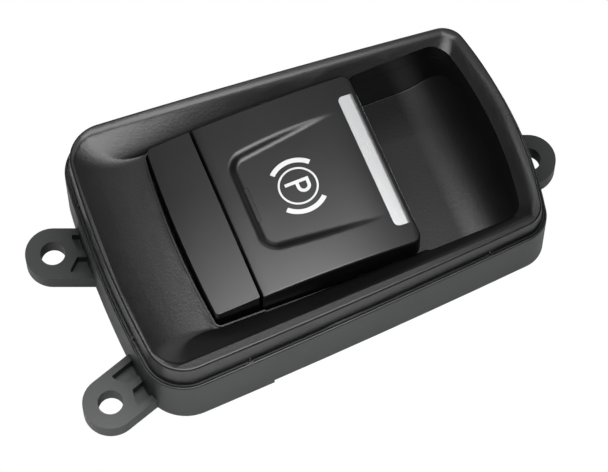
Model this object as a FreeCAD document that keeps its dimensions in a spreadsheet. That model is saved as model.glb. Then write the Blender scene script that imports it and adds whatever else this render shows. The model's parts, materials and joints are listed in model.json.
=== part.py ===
import FreeCAD, Part
import math
import os
import re

import Sketcher

# Electric parking brake switch. Lengths in mm, angles in degrees.
# Frame: +Z out of the button face, +X towards the finger well, origin on the rear rest face.

SIZES = [
    ("flange_height", 32.0, "flange plane over the rear rest face"),
    ("half_length", 50.05, "bezel crest, middle to either end"),
    ("half_width", 30.3, "bezel crest half width in the middle"),
    ("side_lean", 3.74, "lean of each long side, narrowing to the finger well"),
    ("side_bow", 2000.0, "outward bow radius of the long sides"),
    ("end_bow_left", 240.0, "bow radius of the left end"),
    ("end_bow_right", 100.0, "bow radius of the right end"),
    ("corner_left", 9.0, "corner radius at the left end"),
    ("corner_right", 5.5, "corner radius at the right end"),
    ("crest_rise", 6.0, "crest over the flange plane in the middle"),
    ("crest_fall", 1.26, "fall of the crest plane towards the finger well"),
    ("crest_round", 0.5, "rounding of the crest's outer edge"),
    ("base_draft", 0.3, "outward draft of the bezel wall at its foot"),
    ("groove_width", 0.25, "groove round the bezel's foot"),
    ("groove_depth", 0.5, "depth of that groove"),
    ("lip_width", 0.3, "flange lip outside the groove"),
    ("rim_gap", 0.2, "gap between the flange lip and the housing rim"),
    ("flange_thick", 1.2, "bezel flange thickness"),
    ("rim_grow", 1.5, "housing rim outside the crest line"),
    ("rim_round", 0.35, "rounding of the housing rim"),
    ("rim_drop", 0.1, "housing rim below the flange plane"),
    ("wall", 1.9, "housing wall thickness"),
    ("wall_depth", 16.3, "flange plane to the wall's lower edge, left part"),
    ("wall_step", 1.3, "rise of the lower edge to the right of the step"),
    ("step_left", 22.0, "lower edge step, left of the middle"),
    ("relief_wall", 1.3, "housing wall behind the set-back at the right ear"),
    ("floor_thick", 1.8, "housing floor plate thickness"),
    ("land_left", 1.2, "land width at the left end"),
    ("land_side", 2.4, "land width on the long sides"),
    ("land_right", 2.5, "land width at the right end"),
    ("dish_depth", 4.7, "dish floor below the crest plane"),
    ("dish_mid_depth", 2.8, "middle dish section below the crest plane"),
    ("dish_mid_left", "half_length - 7.55", "left end of the middle dish section"),
    ("dish_mid_right", "half_length - 6.05", "right end of the middle dish section"),
    ("dish_mid_half", "aperture_half + 1.75", "half width of the middle dish section"),
    ("dish_mid_lean", 2.7, "side lean of the middle dish section"),
    ("dish_left", "strip_left + 1.3", "left end of the dish floor"),
    ("dish_right", "half_length - 9.45", "right end of the dish floor"),
    ("dish_half", "aperture_half - 0.28", "half width of the dish floor"),
    ("dish_lean", 3.55, "side lean of the dish floor"),
    ("dish_bow", 380.0, "side bow of the two lower dish sections"),
    ("dish_corner", 1.3, "corner radius of the dish floor"),
    ("dish_mid_corner", 3.0, "corner radius of the middle dish section"),
    ("shell_grow", 1.6, "sideways thickness of the dish shell"),
    ("shell_drop", 1.2, "downward thickness of the dish shell"),
    ("land_thick", 1.9, "thickness under the land"),
    ("skirt", 2.2, "bezel skirt thickness"),
    ("aperture_left", "strip_left + 0.9", "left end of the button aperture"),
    ("aperture_half", "paddle_half + 0.55", "half width of the button aperture"),
    ("aperture_bow", 190.0, "bow radius of the aperture's left end"),
    ("aperture_corner", 1.4, "corner radius of the aperture"),
    ("aperture_wall", 2.0, "wall round the aperture below the dish"),
    ("strip_lip", 0.4, "width of the raised lip round the cover strip"),
    ("strip_lip_rise", 2.5, "top of that lip over the flange plane"),
    ("well_left", 19.0, "left end of the wide part of the finger well"),
    ("well_right", "half_length - 4.85", "right end of the finger well"),
    ("well_half", "half_width - 6.5", "half width of the finger well"),
    ("well_corner", 5.0, "corner radius of the finger well"),
    ("well_inner_left", 3.0, "hidden left wall of the finger well"),
    ("well_depth", 14.7, "finger well floor below the flange plane"),
    ("well_sweep", 14.0, "radius sweeping the well floor up to its right wall"),
    ("well_heel", 5.0, "radius at the left of the well floor"),
    ("well_wall", 1.6, "finger well wall thickness"),
    ("well_lip_drop", 3.0, "left edge of the well below the flange plane"),
    ("well_flange", 1.3, "width of the flange round the well's mouth"),
    ("button_rise", 8.75, "top of the button arch over the flange plane"),
    ("arch_centre", -3.0, "X of the highest line of the arch"),
    ("arch_bow", 180.0, "radius of the arch"),
    ("strip_left", 32.0, "left end of the cover strip"),
    ("strip_right", -20.85, "right face of the cover strip"),
    ("strip_half", "paddle_half - 0.4", "half width of the cover strip"),
    ("strip_bow", 300.0, "bow radius of the strip's left end"),
    ("strip_wall", 1.8, "cover strip thickness"),
    ("strip_foot", 0.2, "lower edge of the strip over the flange plane"),
    ("paddle_left", -20.35, "left face of the paddle"),
    ("paddle_right", 18.4, "right face of the paddle"),
    ("paddle_half", "well_half - 1.3", "half width of the paddle"),
    ("paddle_foot", 0.8, "lower edge of the paddle over the flange plane"),
    ("paddle_corner", 2.0, "right corner radius of the paddle"),
    ("paddle_edge", 0.5, "rounding of the paddle's top edges"),
    ("cap_thick", 2.2, "cap top and right wall thickness"),
    ("cap_side", 1.8, "cap side wall thickness"),
    ("cap_left_wall", 1.3, "cap left wall thickness"),
    ("stake_left", -6.0, "X of the left heat stakes"),
    ("stake_right", 10.0, "X of the right heat stakes"),
    ("stake_half", "paddle_half - 4.5", "Y of the heat stakes"),
    ("stake_radius", 1.2, "heat stake radius"),
    ("stake_head", 2.0, "heat stake head radius"),
    ("stake_flat", 0.6, "heat stake head thickness"),
    ("thumb_left", -14.4, "left end of the thumb well's floor"),
    ("thumb_right", 9.6, "right end of the thumb well, where it fades out"),
    ("thumb_half_left", 11.0, "half width of the thumb well's floor at its left end"),
    ("thumb_half_right", 14.3, "half width of the thumb well's floor at its right end"),
    ("thumb_depth", 1.2, "thumb well depth at its left end"),
    ("thumb_slope", 1.35, "sideways run of the thumb well's wall over its depth"),
    ("thumb_corner", 1.6, "corner radius of the thumb well"),
    ("trim_left", 13.75, "inner edge of the metal trim"),
    ("trim_half", 17.5, "half length of the metal trim"),
    ("trim_thick", 1.3, "trim thickness"),
    ("trim_facet", 1.1, "width of the facet along the trim's outer edge"),
    ("trim_fall", 0.9, "fall of that facet"),
    ("trim_foot", 2.6, "lower edge of the trim over the flange plane"),
    ("trim_corner", 1.3, "inner corner radius of the trim"),
    ("trim_gap", 0.08, "gap between trim and cap"),
    ("slit_centre", -13.9, "X of the indicator slit"),
    ("slit_width", 0.85, "indicator slit width"),
    ("slit_half", 4.35, "half length of the indicator slit"),
    ("lens_foot", -0.2, "lower end of the indicator lens over the flange plane"),
    ("lens_gap", 0.05, "gap round the indicator lens"),
    ("pivot_across", -16.2, "X of the pivot pin"),
    ("pivot_rise", 3.5, "pivot pin axis over the flange plane"),
    ("pin_radius", 1.25, "pivot pin radius"),
    ("pin_play", 0.05, "running clearance round the pin and the stems"),
    ("boss_radius", 2.4, "carrier boss round the pin"),
    ("cheek_radius", 2.2, "frame cheek round the pin"),
    ("boss_inner", "boss_outer - 3.2", "inner face of the carrier bosses"),
    ("boss_outer", "cheek_inner - 0.4", "outer face of the carrier bosses"),
    ("cheek_inner", "cheek_outer - 2.2", "inner face of the frame cheeks"),
    ("cheek_outer", "paddle_half - cap_side - 1.5", "outer face of the frame cheeks"),
    ("cheek_left", -27.0, "left foot of the frame cheeks"),
    ("cheek_right", -6.0, "right foot of the frame cheeks"),
    ("pin_half", "cheek_outer + 1", "half length of the pivot pin"),
    ("clip_thick", 0.5, "retaining clip thickness"),
    ("clip_radius", 2.0, "retaining clip radius"),
    ("lever", 10.0, "plunger axis from the pivot, on either side"),
    ("arm_half", 8.0, "half width of the rocking arm"),
    ("arm_top", -0.9, "top of the rocking arm over the flange plane"),
    ("arm_foot", -3.0, "underside of the rocking arm over the flange plane"),
    ("arm_left", -29.3, "left end of the rocking arm"),
    ("arm_right", -3.0, "right end of the rocking arm"),
    ("tread_radius", 2.0, "rounded tread under the arm"),
    ("tread_half", 4.0, "half length of the tread"),
    ("tread_gap", 0.1, "gap between tread and plunger"),
    ("tray_left", -12.5, "left end of the carrier tray"),
    ("tray_thick", 1.8, "carrier tray thickness"),
    ("fit_gap", 0.3, "clearance between fitting pieces"),
    ("head_radius", 4.2, "plunger head radius"),
    ("head_thick", 2.0, "plunger head thickness"),
    ("stem_radius", 2.5, "plunger stem radius"),
    ("stem_foot", 11.6, "lower end of the plunger stems over the rest face"),
    ("magnet_radius", 1.6, "sensor magnet radius"),
    ("magnet_length", 2.8, "sensor magnet length"),
    ("frame_thick", 2.0, "mechanism frame plate thickness"),
    ("frame_left", -43.0, "left end of the mechanism frame"),
    ("frame_right", 0.4, "right end of the mechanism frame"),
    ("frame_half", "box_half - 1", "half width of the mechanism frame"),
    ("guide_foot", 13.0, "lower end of the guide tubes over the rest face"),
    ("wire_radius", 0.35, "spring wire radius"),
    ("coil_radius", 3.3, "spring coil radius"),
    ("coil_pitch", 1.15, "spring pitch"),
    ("post_across", "pivot_across - lever", "X of the strip posts"),
    ("post_half", "cheek_outer - 1.8", "Y of the strip posts"),
    ("post_radius", 2.4, "strip post radius"),
    ("peg_radius", 1.2, "strip peg radius"),
    ("peg_length", 5.0, "strip peg length"),
    ("frame_inset", 2.8, "frame screws in from the frame's corners"),
    ("bumper_radius", 1.9, "stop bumper radius"),
    ("bumper_tall", 2.0, "stop bumper height"),
    ("pull_stop_across", -28.6, "X of the stops for the pulled paddle"),
    ("pull_stop_half", 6.3, "Y of those stops"),
    ("pull_stop_top", -4.4, "top of those stops over the flange plane"),
    ("push_stop_across", -1.6, "X of the stops for the pressed paddle"),
    ("push_stop_half", 12.0, "Y of those stops"),
    ("push_stop_top", -0.4, "top of those stops over the flange plane"),
    ("box_left", -44.5, "left face of the rear box"),
    ("box_right", 16.0, "right face of the rear box"),
    ("box_half", "paddle_half", "half width of the rear box"),
    ("box_corner", 3.0, "corner radius of the rear box"),
    ("box_wall", 1.8, "rear box wall thickness"),
    ("box_roof", 15.2, "roof of the rear box under the finger well"),
    ("hatch_left", -36.5, "left end of the floor opening"),
    ("hatch_half", "frame_half - 8.5", "half width of the floor opening"),
    ("cover_thick", 2.2, "rear cover thickness"),
    ("cover_lip", 2.0, "rear cover's inner lip height"),
    ("screw_across_left", "box_left + 4.2", "X of the left cover screws"),
    ("screw_across_right", "box_right - 4.2", "X of the right cover screws"),
    ("screw_half", "box_half - 4.2", "Y of the cover screws"),
    ("screw_boss", 3.2, "cover screw boss radius"),
    ("screw_head", 2.6, "cover screw head radius"),
    ("screw_head_tall", 1.6, "cover screw head height"),
    ("screw_shank", 1.4, "screw shank radius"),
    ("screw_reach", 9.0, "screw shank length"),
    ("recess", 2.0, "screw recess depth"),
    ("cross_deep", 0.8, "depth of a screw's cross recess"),
    ("cross_long", 1.4, "half length of that recess"),
    ("cross_half", 0.3, "half width of that recess"),
    ("board_left", -36.0, "left edge of the circuit board"),
    ("board_right", 8.0, "right edge of the circuit board"),
    ("board_half", "box_half - box_wall - 0.5", "half width of the circuit board"),
    ("board_height", 7.0, "underside of the circuit board"),
    ("board_thick", 1.6, "circuit board thickness"),
    ("stud_left", "board_left + 3", "X of the left board screws"),
    ("stud_right", "board_right - 3.4", "X of the right board screws"),
    ("stud_half", "board_half - 3", "Y of the board screws"),
    ("stud_shank", 1.0, "shank radius of the board and frame screws"),
    ("stud_head", 2.0, "head radius of those screws"),
    ("stud_head_tall", 1.3, "head height of those screws"),
    ("stud_reach", 5.0, "shank length of those screws"),
    ("stud_play", 0.25, "clearance round those screws in the board and the frame"),
    ("stud_boss", 2.6, "board screw boss radius"),
    ("chip_half", 3.5, "half length of the controller chip"),
    ("chip_tall", 1.4, "controller chip height"),
    ("chip_across", "board_left + 9", "X of the controller chip"),
    ("chip_side", "board_half - 7.8", "Y of the controller chip"),
    ("sensor_half", 1.5, "half length of a position sensor"),
    ("sensor_tall", 1.2, "position sensor height"),
    ("lamp_half", 0.9, "half size of the indicator light on the board"),
    ("lamp_tall", 1.1, "height of that light"),
    ("guide_radius", 1.5, "light guide radius"),
    ("guide_top", -4.7, "top of the light guide over the flange plane"),
    ("guide_collar", 2.7, "light guide collar radius"),
    ("plug_half", 11.0, "half width of the connector"),
    ("plug_low", 2.6, "underside of the connector"),
    ("plug_high", 13.0, "top of the connector"),
    ("plug_end", 29.0, "mouth of the connector"),
    ("plug_wall", 1.3, "connector wall thickness"),
    ("plug_floor", 17.0, "bottom of the connector's socket"),
    ("plug_web", 2.5, "web that holds the contacts"),
    ("cheek_reach", 4.0, "length of the connector's two feet on the board"),
    ("contact_play", 0.03, "gap round a contact in the web"),
    ("contact_half", 0.32, "half thickness of a contact"),
    ("contact_pitch", 3.0, "contact spacing along the connector"),
    ("contact_low", "board_height - contact_half", "height of the lower contact row, under the board"),
    ("contact_high", "board_height + board_thick + contact_half",
     "height of the upper contact row, on the board"),
    ("contact_tip", 24.0, "end of the contacts"),
    ("ear_radius", 6.4, "ear end radius"),
    ("ear_hole", 2.9, "ear hole radius"),
    ("ear_thick", 4.7, "ear thickness"),
    ("ear_reach", 12.0, "ear length into the wall"),
    ("ear_pocket", 2.6, "depth of the ear pockets"),
    ("pocket_left", -4.3, "outer end of an ear pocket from the hole"),
    ("pocket_neck", -5.7, "the same beside the middle rib"),
    ("rib_half", 0.9, "half width of the rib between two ear pockets"),
    ("pocket_half", 4.7, "outer side of an ear pocket"),
    ("ear_a_across", "-half_length - 8.2", "X of the left far ear hole"),
    ("ear_a_along", 14.0, "Y of the left far ear hole"),
    ("ear_a_turn", 158.0, "outward angle of the left far ear"),
    ("ear_b_across", "-half_length - 8.85", "X of the left near ear hole"),
    ("ear_b_along", -25.5, "Y of the left near ear hole"),
    ("ear_b_turn", 199.0, "outward angle of the left near ear"),
    ("ear_c_across", "half_length + 3.05", "X of the right ear hole"),
    ("ear_c_along", -5.0, "Y of the right ear hole"),
    ("ear_c_turn", -22.0, "outward angle of the right ear"),
    ("relief_face", "half_length - 1.45", "end wall face set back at the right ear"),
    ("relief_half", 7.4, "half width of that set-back"),
    ("relief_top", 3.0, "top of the set-back below the flange plane"),
    ("tab_width", 6.0, "snap tab width"),
    ("tab_thick", 1.2, "snap tab thickness"),
    ("tab_foot", 7.5, "snap tab end below the flange plane"),
    ("nib", 0.6, "snap tab nib"),
    ("notch_half", 0.9, "half width of a locating notch in the flange lip"),
]

WORD = re.compile(r"\b[a-z]+(?:_[a-z]+)*\b(?!\()")

doc = FreeCAD.newDocument("ParkingBrakeSwitch")
sheet = doc.addObject("Spreadsheet::Sheet", "Sizes")
for row, (alias, number, note) in enumerate(SIZES, start=1):
    sheet.set("A%d" % row, note)
    sheet.setAlias("B%d" % row, alias)
for row, (alias, number, note) in enumerate(SIZES, start=1):
    sheet.set("B%d" % row, "=" + number if isinstance(number, str) else str(number))
doc.recompute()

X_AXIS = FreeCAD.Vector(1, 0, 0)
Y_AXIS = FreeCAD.Vector(0, 1, 0)
Z_AXIS = FreeCAD.Vector(0, 0, 1)


def link(text):
    """Expression text with every size name pointed at the sheet."""
    return WORD.sub(lambda found: "Sizes." + found.group(0), str(text))


def value(text):
    """Number that an expression has now."""
    result = sheet.evalExpression(link(text))
    return float(getattr(result, "Value", result))


def bind(item, prop, text):
    item.setExpression(prop, link(text))


def place(item, x, y, z):
    for letter, text in (("x", x), ("y", y), ("z", z)):
        bind(item, "Placement.Base." + letter, text)


def block(name, low, high):
    """Box between two corners, each three expressions."""
    item = doc.addObject("Part::Box", name)
    for prop, begin, end in zip(("Length", "Width", "Height"), low, high):
        bind(item, prop, "(%s) - (%s)" % (end, begin))
    place(item, *low)
    return item


def rod(name, radius, x, y, z, length, along="Z"):
    """Cylinder starting at a point and running along an axis."""
    item = doc.addObject("Part::Cylinder", name)
    turns = {"X": (Y_AXIS, 90), "Y": (X_AXIS, -90), "Z": (Z_AXIS, 0)}
    item.Placement.Rotation = FreeCAD.Rotation(*turns[along])
    bind(item, "Radius", radius)
    bind(item, "Height", length)
    place(item, x, y, z)
    return item


def fuse(name, items):
    item = doc.addObject("Part::MultiFuse", name)
    item.Shapes = items
    item.Refine = True
    return item


def gather(name, items):
    """Separate pieces of one kind kept as one group."""
    item = doc.addObject("Part::Compound", name)
    item.Links = items
    return item


def cut(name, base, tools):
    item = doc.addObject("Part::Cut", name)
    item.Base = base
    item.Tool = tools[0] if len(tools) == 1 else fuse(name + "Tools", tools)
    item.Refine = True
    return item


def common(name, first, second):
    item = doc.addObject("Part::MultiCommon", name)
    item.Shapes = [first, second]
    item.Refine = True
    return item


def new_body(name):
    return doc.addObject("PartDesign::Body", name)


def new_sketch(body, name, role, offset, tilt="0", about=Y_AXIS):
    """Sketch on one of the body's own planes, moved along its normal and tilted by a positive angle."""
    sketch = body.newObject("Sketcher::SketchObject", name)
    planes = [item for item in body.Origin.OriginFeatures if item.Role == role]
    sketch.AttachmentSupport = [(planes[0], "")]
    sketch.MapMode = "FlatFace"
    if tilt != "0":
        sketch.AttachmentOffset = FreeCAD.Placement(FreeCAD.Vector(), FreeCAD.Rotation(about, value(tilt)))
        bind(sketch, "AttachmentOffset.Rotation.Angle", tilt)
    bind(sketch, "AttachmentOffset.Base.z", offset)
    return sketch


def hold(sketch, label, kind, places, text):
    """One dimension of a sketch, tied to an expression."""
    index = sketch.addConstraint(Sketcher.Constraint(kind, *places, value(text)))
    sketch.renameConstraint(index, label)
    bind(sketch, "Constraints." + label, text)


def meeting(centre, radius, other, other_radius, near):
    """Crossing of two circles that lies closest to a given point."""
    gap = other - centre
    reach = (radius ** 2 - other_radius ** 2 + gap.Length ** 2) / (2 * gap.Length)
    rise = math.sqrt(max(radius ** 2 - reach ** 2, 0.0))
    along = gap / gap.Length
    foot = centre + along * reach
    side = FreeCAD.Vector(-along.y, along.x, 0) * rise
    return min(foot + side, foot - side, key=lambda spot: (spot - near).Length)


def outline(left, right, half, lean="0", bow="9000", left_bow="9000", right_bow="9000",
            left_round="1", right_round="1", grow="0"):
    """Four bowed sides joined by rounded corners, as expressions."""
    return {
        "lean": lean, "half": half,
        "left": "(%s) + (%s)" % (left, left_bow), "right": "(%s) - (%s)" % (right, right_bow),
        "bow": "(%s) + (%s)" % (bow, grow), "side": "(%s)" % bow,
        "left_bow": "(%s) + (%s)" % (left_bow, grow), "right_bow": "(%s) + (%s)" % (right_bow, grow),
        "left_round": left_round, "right_round": right_round,
    }


def draw_outline(sketch, shape):
    """Eight tangent arcs, anticlockwise from the right end."""
    swing = "%s * sin(%s)" % (shape["side"], shape["lean"])
    drop = "%s * cos(%s) - (%s)" % (shape["side"], shape["lean"], shape["half"])
    sides = [
        (shape["right"], "0", shape["right_bow"]),
        ("-%s" % swing, "-(%s)" % drop, shape["bow"]),
        (shape["left"], "0", shape["left_bow"]),
        ("-%s" % swing, drop, shape["bow"]),
    ]
    rounds = [shape["right_round"], shape["left_round"], shape["left_round"], shape["right_round"]]
    spots = [(FreeCAD.Vector(value(x), value(y), 0), value(radius)) for x, y, radius in sides]
    half = value(shape["half"])
    ends = [value(shape["right"]) + spots[0][1], value(shape["left"]) - spots[2][1]]
    near = [
        FreeCAD.Vector(ends[0], half, 0), FreeCAD.Vector(ends[1], half, 0),
        FreeCAD.Vector(ends[1], -half, 0), FreeCAD.Vector(ends[0], -half, 0),
    ]
    corners = []
    for index, text in enumerate(rounds):
        radius = value(text)
        centre, size = spots[index]
        other, other_size = spots[(index + 1) % 4]
        hub = meeting(centre, size - radius, other, other_size - radius, near[index])
        before = centre + (hub - centre) * (size / (hub - centre).Length)
        after = other + (hub - other) * (other_size / (hub - other).Length)
        corners.append((hub, radius, before, after))
    for index, (centre, radius) in enumerate(spots):
        begin = corners[index - 1][3]
        hub, small, before, after = corners[index]
        add_arc(sketch, centre, radius, begin, before)
        add_arc(sketch, hub, small, before, after)
    for index in range(8):
        sketch.addConstraint(Sketcher.Constraint("Tangent", index, 2, (index + 1) % 8, 1))
    for index, (x, y, radius) in enumerate(sides):
        hold(sketch, "bow_%d" % index, "Radius", (2 * index,), radius)
        hold(sketch, "across_%d" % index, "DistanceX", (-1, 1, 2 * index, 3), x)
        if y == "0":
            sketch.addConstraint(Sketcher.Constraint("PointOnObject", 2 * index, 3, -1))
        else:
            hold(sketch, "along_%d" % index, "DistanceY", (-1, 1, 2 * index, 3), y)
        hold(sketch, "round_%d" % index, "Radius", (2 * index + 1,), rounds[index])


def add_arc(sketch, centre, radius, begin, end):
    """Anticlockwise arc between two points."""
    first = math.atan2(begin.y - centre.y, begin.x - centre.x)
    last = math.atan2(end.y - centre.y, end.x - centre.x)
    circle = Part.Circle(centre, Z_AXIS, radius)
    return sketch.addGeometry(Part.ArcOfCircle(circle, first, last), False)


def draw_corners(sketch, corners):
    """Closed anticlockwise figure. A third entry bows the side that starts there, inwards if negative."""
    spots = [FreeCAD.Vector(value(corner[0]), value(corner[1]), 0) for corner in corners]
    ends = []
    for index, corner in enumerate(corners):
        begin = spots[index]
        end = spots[(index + 1) % len(spots)]
        if len(corner) == 2:
            piece = sketch.addGeometry(Part.LineSegment(begin, end), False)
            ends.append((piece, 1, 2))
            continue
        radius = value(corner[2])
        chord = end - begin
        inward = FreeCAD.Vector(-chord.y, chord.x, 0) / chord.Length
        reach = math.sqrt(max(radius ** 2 - (chord.Length / 2) ** 2, 0.0))
        centre = (begin + end) / 2 + inward * math.copysign(reach, radius)
        if radius > 0:
            ends.append((add_arc(sketch, centre, radius, begin, end), 1, 2))
        else:
            ends.append((add_arc(sketch, centre, -radius, end, begin), 2, 1))
        hold(sketch, "bow_%d" % index, "Radius", (ends[-1][0],), "abs(%s)" % corner[2])
    for index, (piece, begin, end) in enumerate(ends):
        after, after_begin, after_end = ends[(index + 1) % len(ends)]
        sketch.addConstraint(Sketcher.Constraint("Coincident", piece, end, after, after_begin))
    for index, corner in enumerate(corners):
        hold(sketch, "across_%d" % index, "DistanceX", (-1, 1, ends[index][0], ends[index][1]), corner[0])
        hold(sketch, "up_%d" % index, "DistanceY", (-1, 1, ends[index][0], ends[index][1]), corner[1])


def pad(body, sketch, length):
    item = body.newObject("PartDesign::Pad", body.Name + "Pad")
    item.Profile = sketch
    bind(item, "Length", length)
    sketch.Visibility = False
    body.Tip = item
    return item


def plan(name, shape, low, high):
    """Outline seen from above, raised between two heights."""
    body = new_body(name)
    sketch = new_sketch(body, name + "Plan", "XY_Plane", low)
    draw_outline(sketch, shape)
    pad(body, sketch, "(%s) - (%s)" % (high, low))
    return body


def plan_corners(name, corners, low, high):
    """Straight-sided figure seen from above, raised between two heights."""
    body = new_body(name)
    sketch = new_sketch(body, name + "Plan", "XY_Plane", low)
    draw_corners(sketch, corners)
    pad(body, sketch, "(%s) - (%s)" % (high, low))
    return body


def stack(name, levels, ruled=True):
    """Solid through outlines, each given as shape, height and tilt."""
    body = new_body(name)
    sketches = []
    for index, (shape, height, tilt) in enumerate(levels):
        sketch = new_sketch(body, "%sLevel%d" % (name, index), "XY_Plane", height, tilt)
        draw_outline(sketch, shape)
        sketch.Visibility = False
        sketches.append(sketch)
    item = body.newObject("PartDesign::AdditiveLoft", name + "Loft")
    item.Profile = sketches[0]
    item.Sections = sketches[1:]
    item.Ruled = ruled
    body.Tip = item
    return body


def side(name, corners, half, other=None):
    """Figure seen from the near side (X across, Z up), spanning Y from -other to half."""
    body = new_body(name)
    sketch = new_sketch(body, name + "Side", "XZ_Plane", "-(%s)" % half)
    draw_corners(sketch, corners)
    pad(body, sketch, "(%s) + (%s)" % (half, other or half))
    return body


def shave(body, corners, half):
    """Cut a side-view figure right through the body."""
    before = body.Tip
    sketch = new_sketch(body, body.Name + "Shave", "XZ_Plane", half)
    draw_corners(sketch, corners)
    item = body.newObject("PartDesign::Pocket", body.Name + "Pocket")
    item.Profile = sketch
    bind(item, "Length", "2 * (%s)" % half)
    sketch.Visibility = False
    body.Tip = item
    doc.recompute()
    if item.Shape.Volume > before.Shape.Volume - 1:
        raise RuntimeError("nothing was cut from " + body.Name)


def edges_where(shape, test):
    return ["Edge%d" % (index + 1) for index, edge in enumerate(shape.Edges) if test(edge)]


def soften(body, radius, test, name="Rounding"):
    """Round the body's edges that pass a test."""
    doc.recompute()
    base = body.Tip
    item = body.newObject("PartDesign::Fillet", body.Name + name)
    item.Base = (base, edges_where(base.Shape, test))
    bind(item, "Radius", radius)
    body.Tip = item
    return item


def upright(edge):
    """True for a straight edge along Z."""
    ends = [vertex.Point for vertex in edge.Vertexes]
    return len(ends) == 2 and abs(ends[0].x - ends[1].x) + abs(ends[0].y - ends[1].y) < 0.01


def over(rise):
    """Height over the rest face of something stated over the flange plane."""
    return "flange_height + (%s)" % rise


def arch(x, thick="0"):
    """Height of the button's arched top at X."""
    return "flange_height + button_rise - (%s) - (%s - arch_centre)^2 / (2 * arch_bow)" % (thick, x)


def crest_outline(grow, corner_extra=None):
    extra = grow if corner_extra is None else corner_extra
    return outline("-half_length", "half_length", "half_width", "side_lean", "side_bow",
                   "end_bow_left", "end_bow_right", "corner_left + (%s)" % extra,
                   "corner_right + (%s)" % extra, grow)


# Bezel: a drafted wall up to a sloping crest, dished inside round the button and the finger well.

def dish_levels(grow, drop):
    """Three outlines of the dish parallel to the crest plane; grow and drop give its outer skin."""
    top = outline("-half_length + land_left", "half_length - land_right", "half_width - land_side",
                  "side_lean", "side_bow", "end_bow_left", "end_bow_right",
                  "corner_left - land_side + (%s)" % grow, "corner_right - land_side + (%s)" % grow, grow)
    middle = outline("-dish_mid_left", "dish_mid_right", "dish_mid_half", "dish_mid_lean", "dish_bow",
                     "end_bow_left", "end_bow_right", "dish_mid_corner + (%s)" % grow,
                     "dish_mid_corner + (%s)" % grow, grow)
    bottom = outline("-dish_left", "dish_right", "dish_half", "dish_lean", "dish_bow",
                     "aperture_bow", "end_bow_right", "dish_corner + (%s)" % grow,
                     "dish_mid_corner + (%s)" % grow, grow)
    return [
        (top, over("crest_rise - (%s)" % drop), "crest_fall"),
        (middle, over("crest_rise - dish_mid_depth - (%s)" % drop), "crest_fall"),
        (bottom, over("crest_rise - dish_depth - (%s)" % drop), "crest_fall"),
    ]


def aperture(name, low, high, grow="0"):
    """Opening for the button and the finger well."""
    button = outline("-aperture_left", "well_right - well_corner", "aperture_half", "0", "9000",
                     "aperture_bow", "end_bow_right", "aperture_corner + (%s)" % grow, "2", grow)
    well = outline("well_left", "well_right", "well_half", "0", "9000", "9000", "end_bow_right",
                   "aperture_corner + (%s)" % grow, "well_corner + (%s)" % grow, grow)
    return fuse(name, [plan(name + "Button", button, low, high), plan(name + "Well", well, low, high)])


bezel_foot = "flange_height - flange_thick"
crest_top = over("2 * crest_rise")


def above(drop):
    """Side view of everything above a plane parallel to the crest."""
    return [("-2 * half_length",
             "%s + 2 * half_length * tan(crest_fall)" % over("crest_rise - (%s)" % drop)),
            ("2 * half_length",
             "%s - 2 * half_length * tan(crest_fall)" % over("crest_rise - (%s)" % drop)),
            ("2 * half_length", over("3 * crest_rise")), ("-2 * half_length", over("3 * crest_rise"))]


bezel_wall = stack("BezelWall", [
    (crest_outline("base_draft"), "flange_height - groove_depth", "0"),
    (crest_outline("-base_draft"), crest_top, "0"),
])
shave(bezel_wall, above("0"), "2 * half_width")
soften(bezel_wall, "crest_round", lambda edge: edge.BoundBox.ZMin > value(over("crest_rise / 2"))
       and edge.BoundBox.DiagonalLength > 1)
bezel_flange = plan("BezelFlange", crest_outline("base_draft + groove_width + lip_width"),
                    bezel_foot, "flange_height")
groove_outer = plan("GrooveOuter", crest_outline("base_draft + groove_width"),
                    "flange_height - groove_depth", over("1"))
groove_inner = plan("GrooveInner", crest_outline("base_draft"), "flange_height - groove_depth", over("1"))
groove = cut("Groove", groove_outer, [groove_inner])
flange_ring = cut("FlangeRing", bezel_flange, [groove])
bezel_bulk = fuse("BezelBulk", [bezel_wall, flange_ring])
dish = stack("Dish", dish_levels("0", "0"), False)
dish_skin = stack("DishSkin", dish_levels("shell_grow", "shell_drop"), False)
aperture_skin = aperture("ApertureSkin", bezel_foot, over("crest_rise - dish_mid_depth - 1"),
                         "aperture_wall")
hollow = plan("BezelHollow", crest_outline("-skirt"), bezel_foot, crest_top)
shave(hollow, above("land_thick"), "2 * half_width")
cavity = cut("BezelCavity", hollow, [dish_skin, aperture_skin])
opening = aperture("Opening", "flange_height - wall_depth", over("2 * crest_rise"))
bezel_shell = cut("BezelShell", bezel_bulk, [dish, cavity, opening])

lip_shape = outline("-aperture_left", "strip_right + strip_lip", "aperture_half", "0", "9000",
                    "aperture_bow", "9000", "aperture_corner + strip_lip", "0.2", "strip_lip")
lip_ring = cut("StripLipRing", plan("StripLip", lip_shape, bezel_foot, over("strip_lip_rise")), [opening])


def tab_blocks(name, half, low, high):
    """Blocks at the snap tabs: two at the left end, two on each long side."""
    spots = [("-half_length", "half_width * 0.58"), ("-half_length", "-half_width * 0.58"),
             ("-half_length * 0.55", "half_width"), ("-half_length * 0.55", "-half_width"),
             ("half_length * 0.65", "half_width"), ("half_length * 0.65", "-half_width")]
    items = []
    for index, (x, y) in enumerate(spots):
        sideways = ("skirt + 2 * wall", half) if index < 2 else (half, "skirt + 3 * wall")
        low_corner = ("%s - (%s)" % (x, sideways[0]), "%s - (%s)" % (y, sideways[1]), low)
        high_corner = ("%s + (%s)" % (x, sideways[0]), "%s + (%s)" % (y, sideways[1]), high)
        items.append(block("%s%d" % (name, index), low_corner, high_corner))
    return fuse(name, items)


def ring(name, inner, outer, low, high):
    return cut(name, plan(name + "Outer", crest_outline(outer), low, high),
               [plan(name + "Inner", crest_outline(inner), low, high)])


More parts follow.
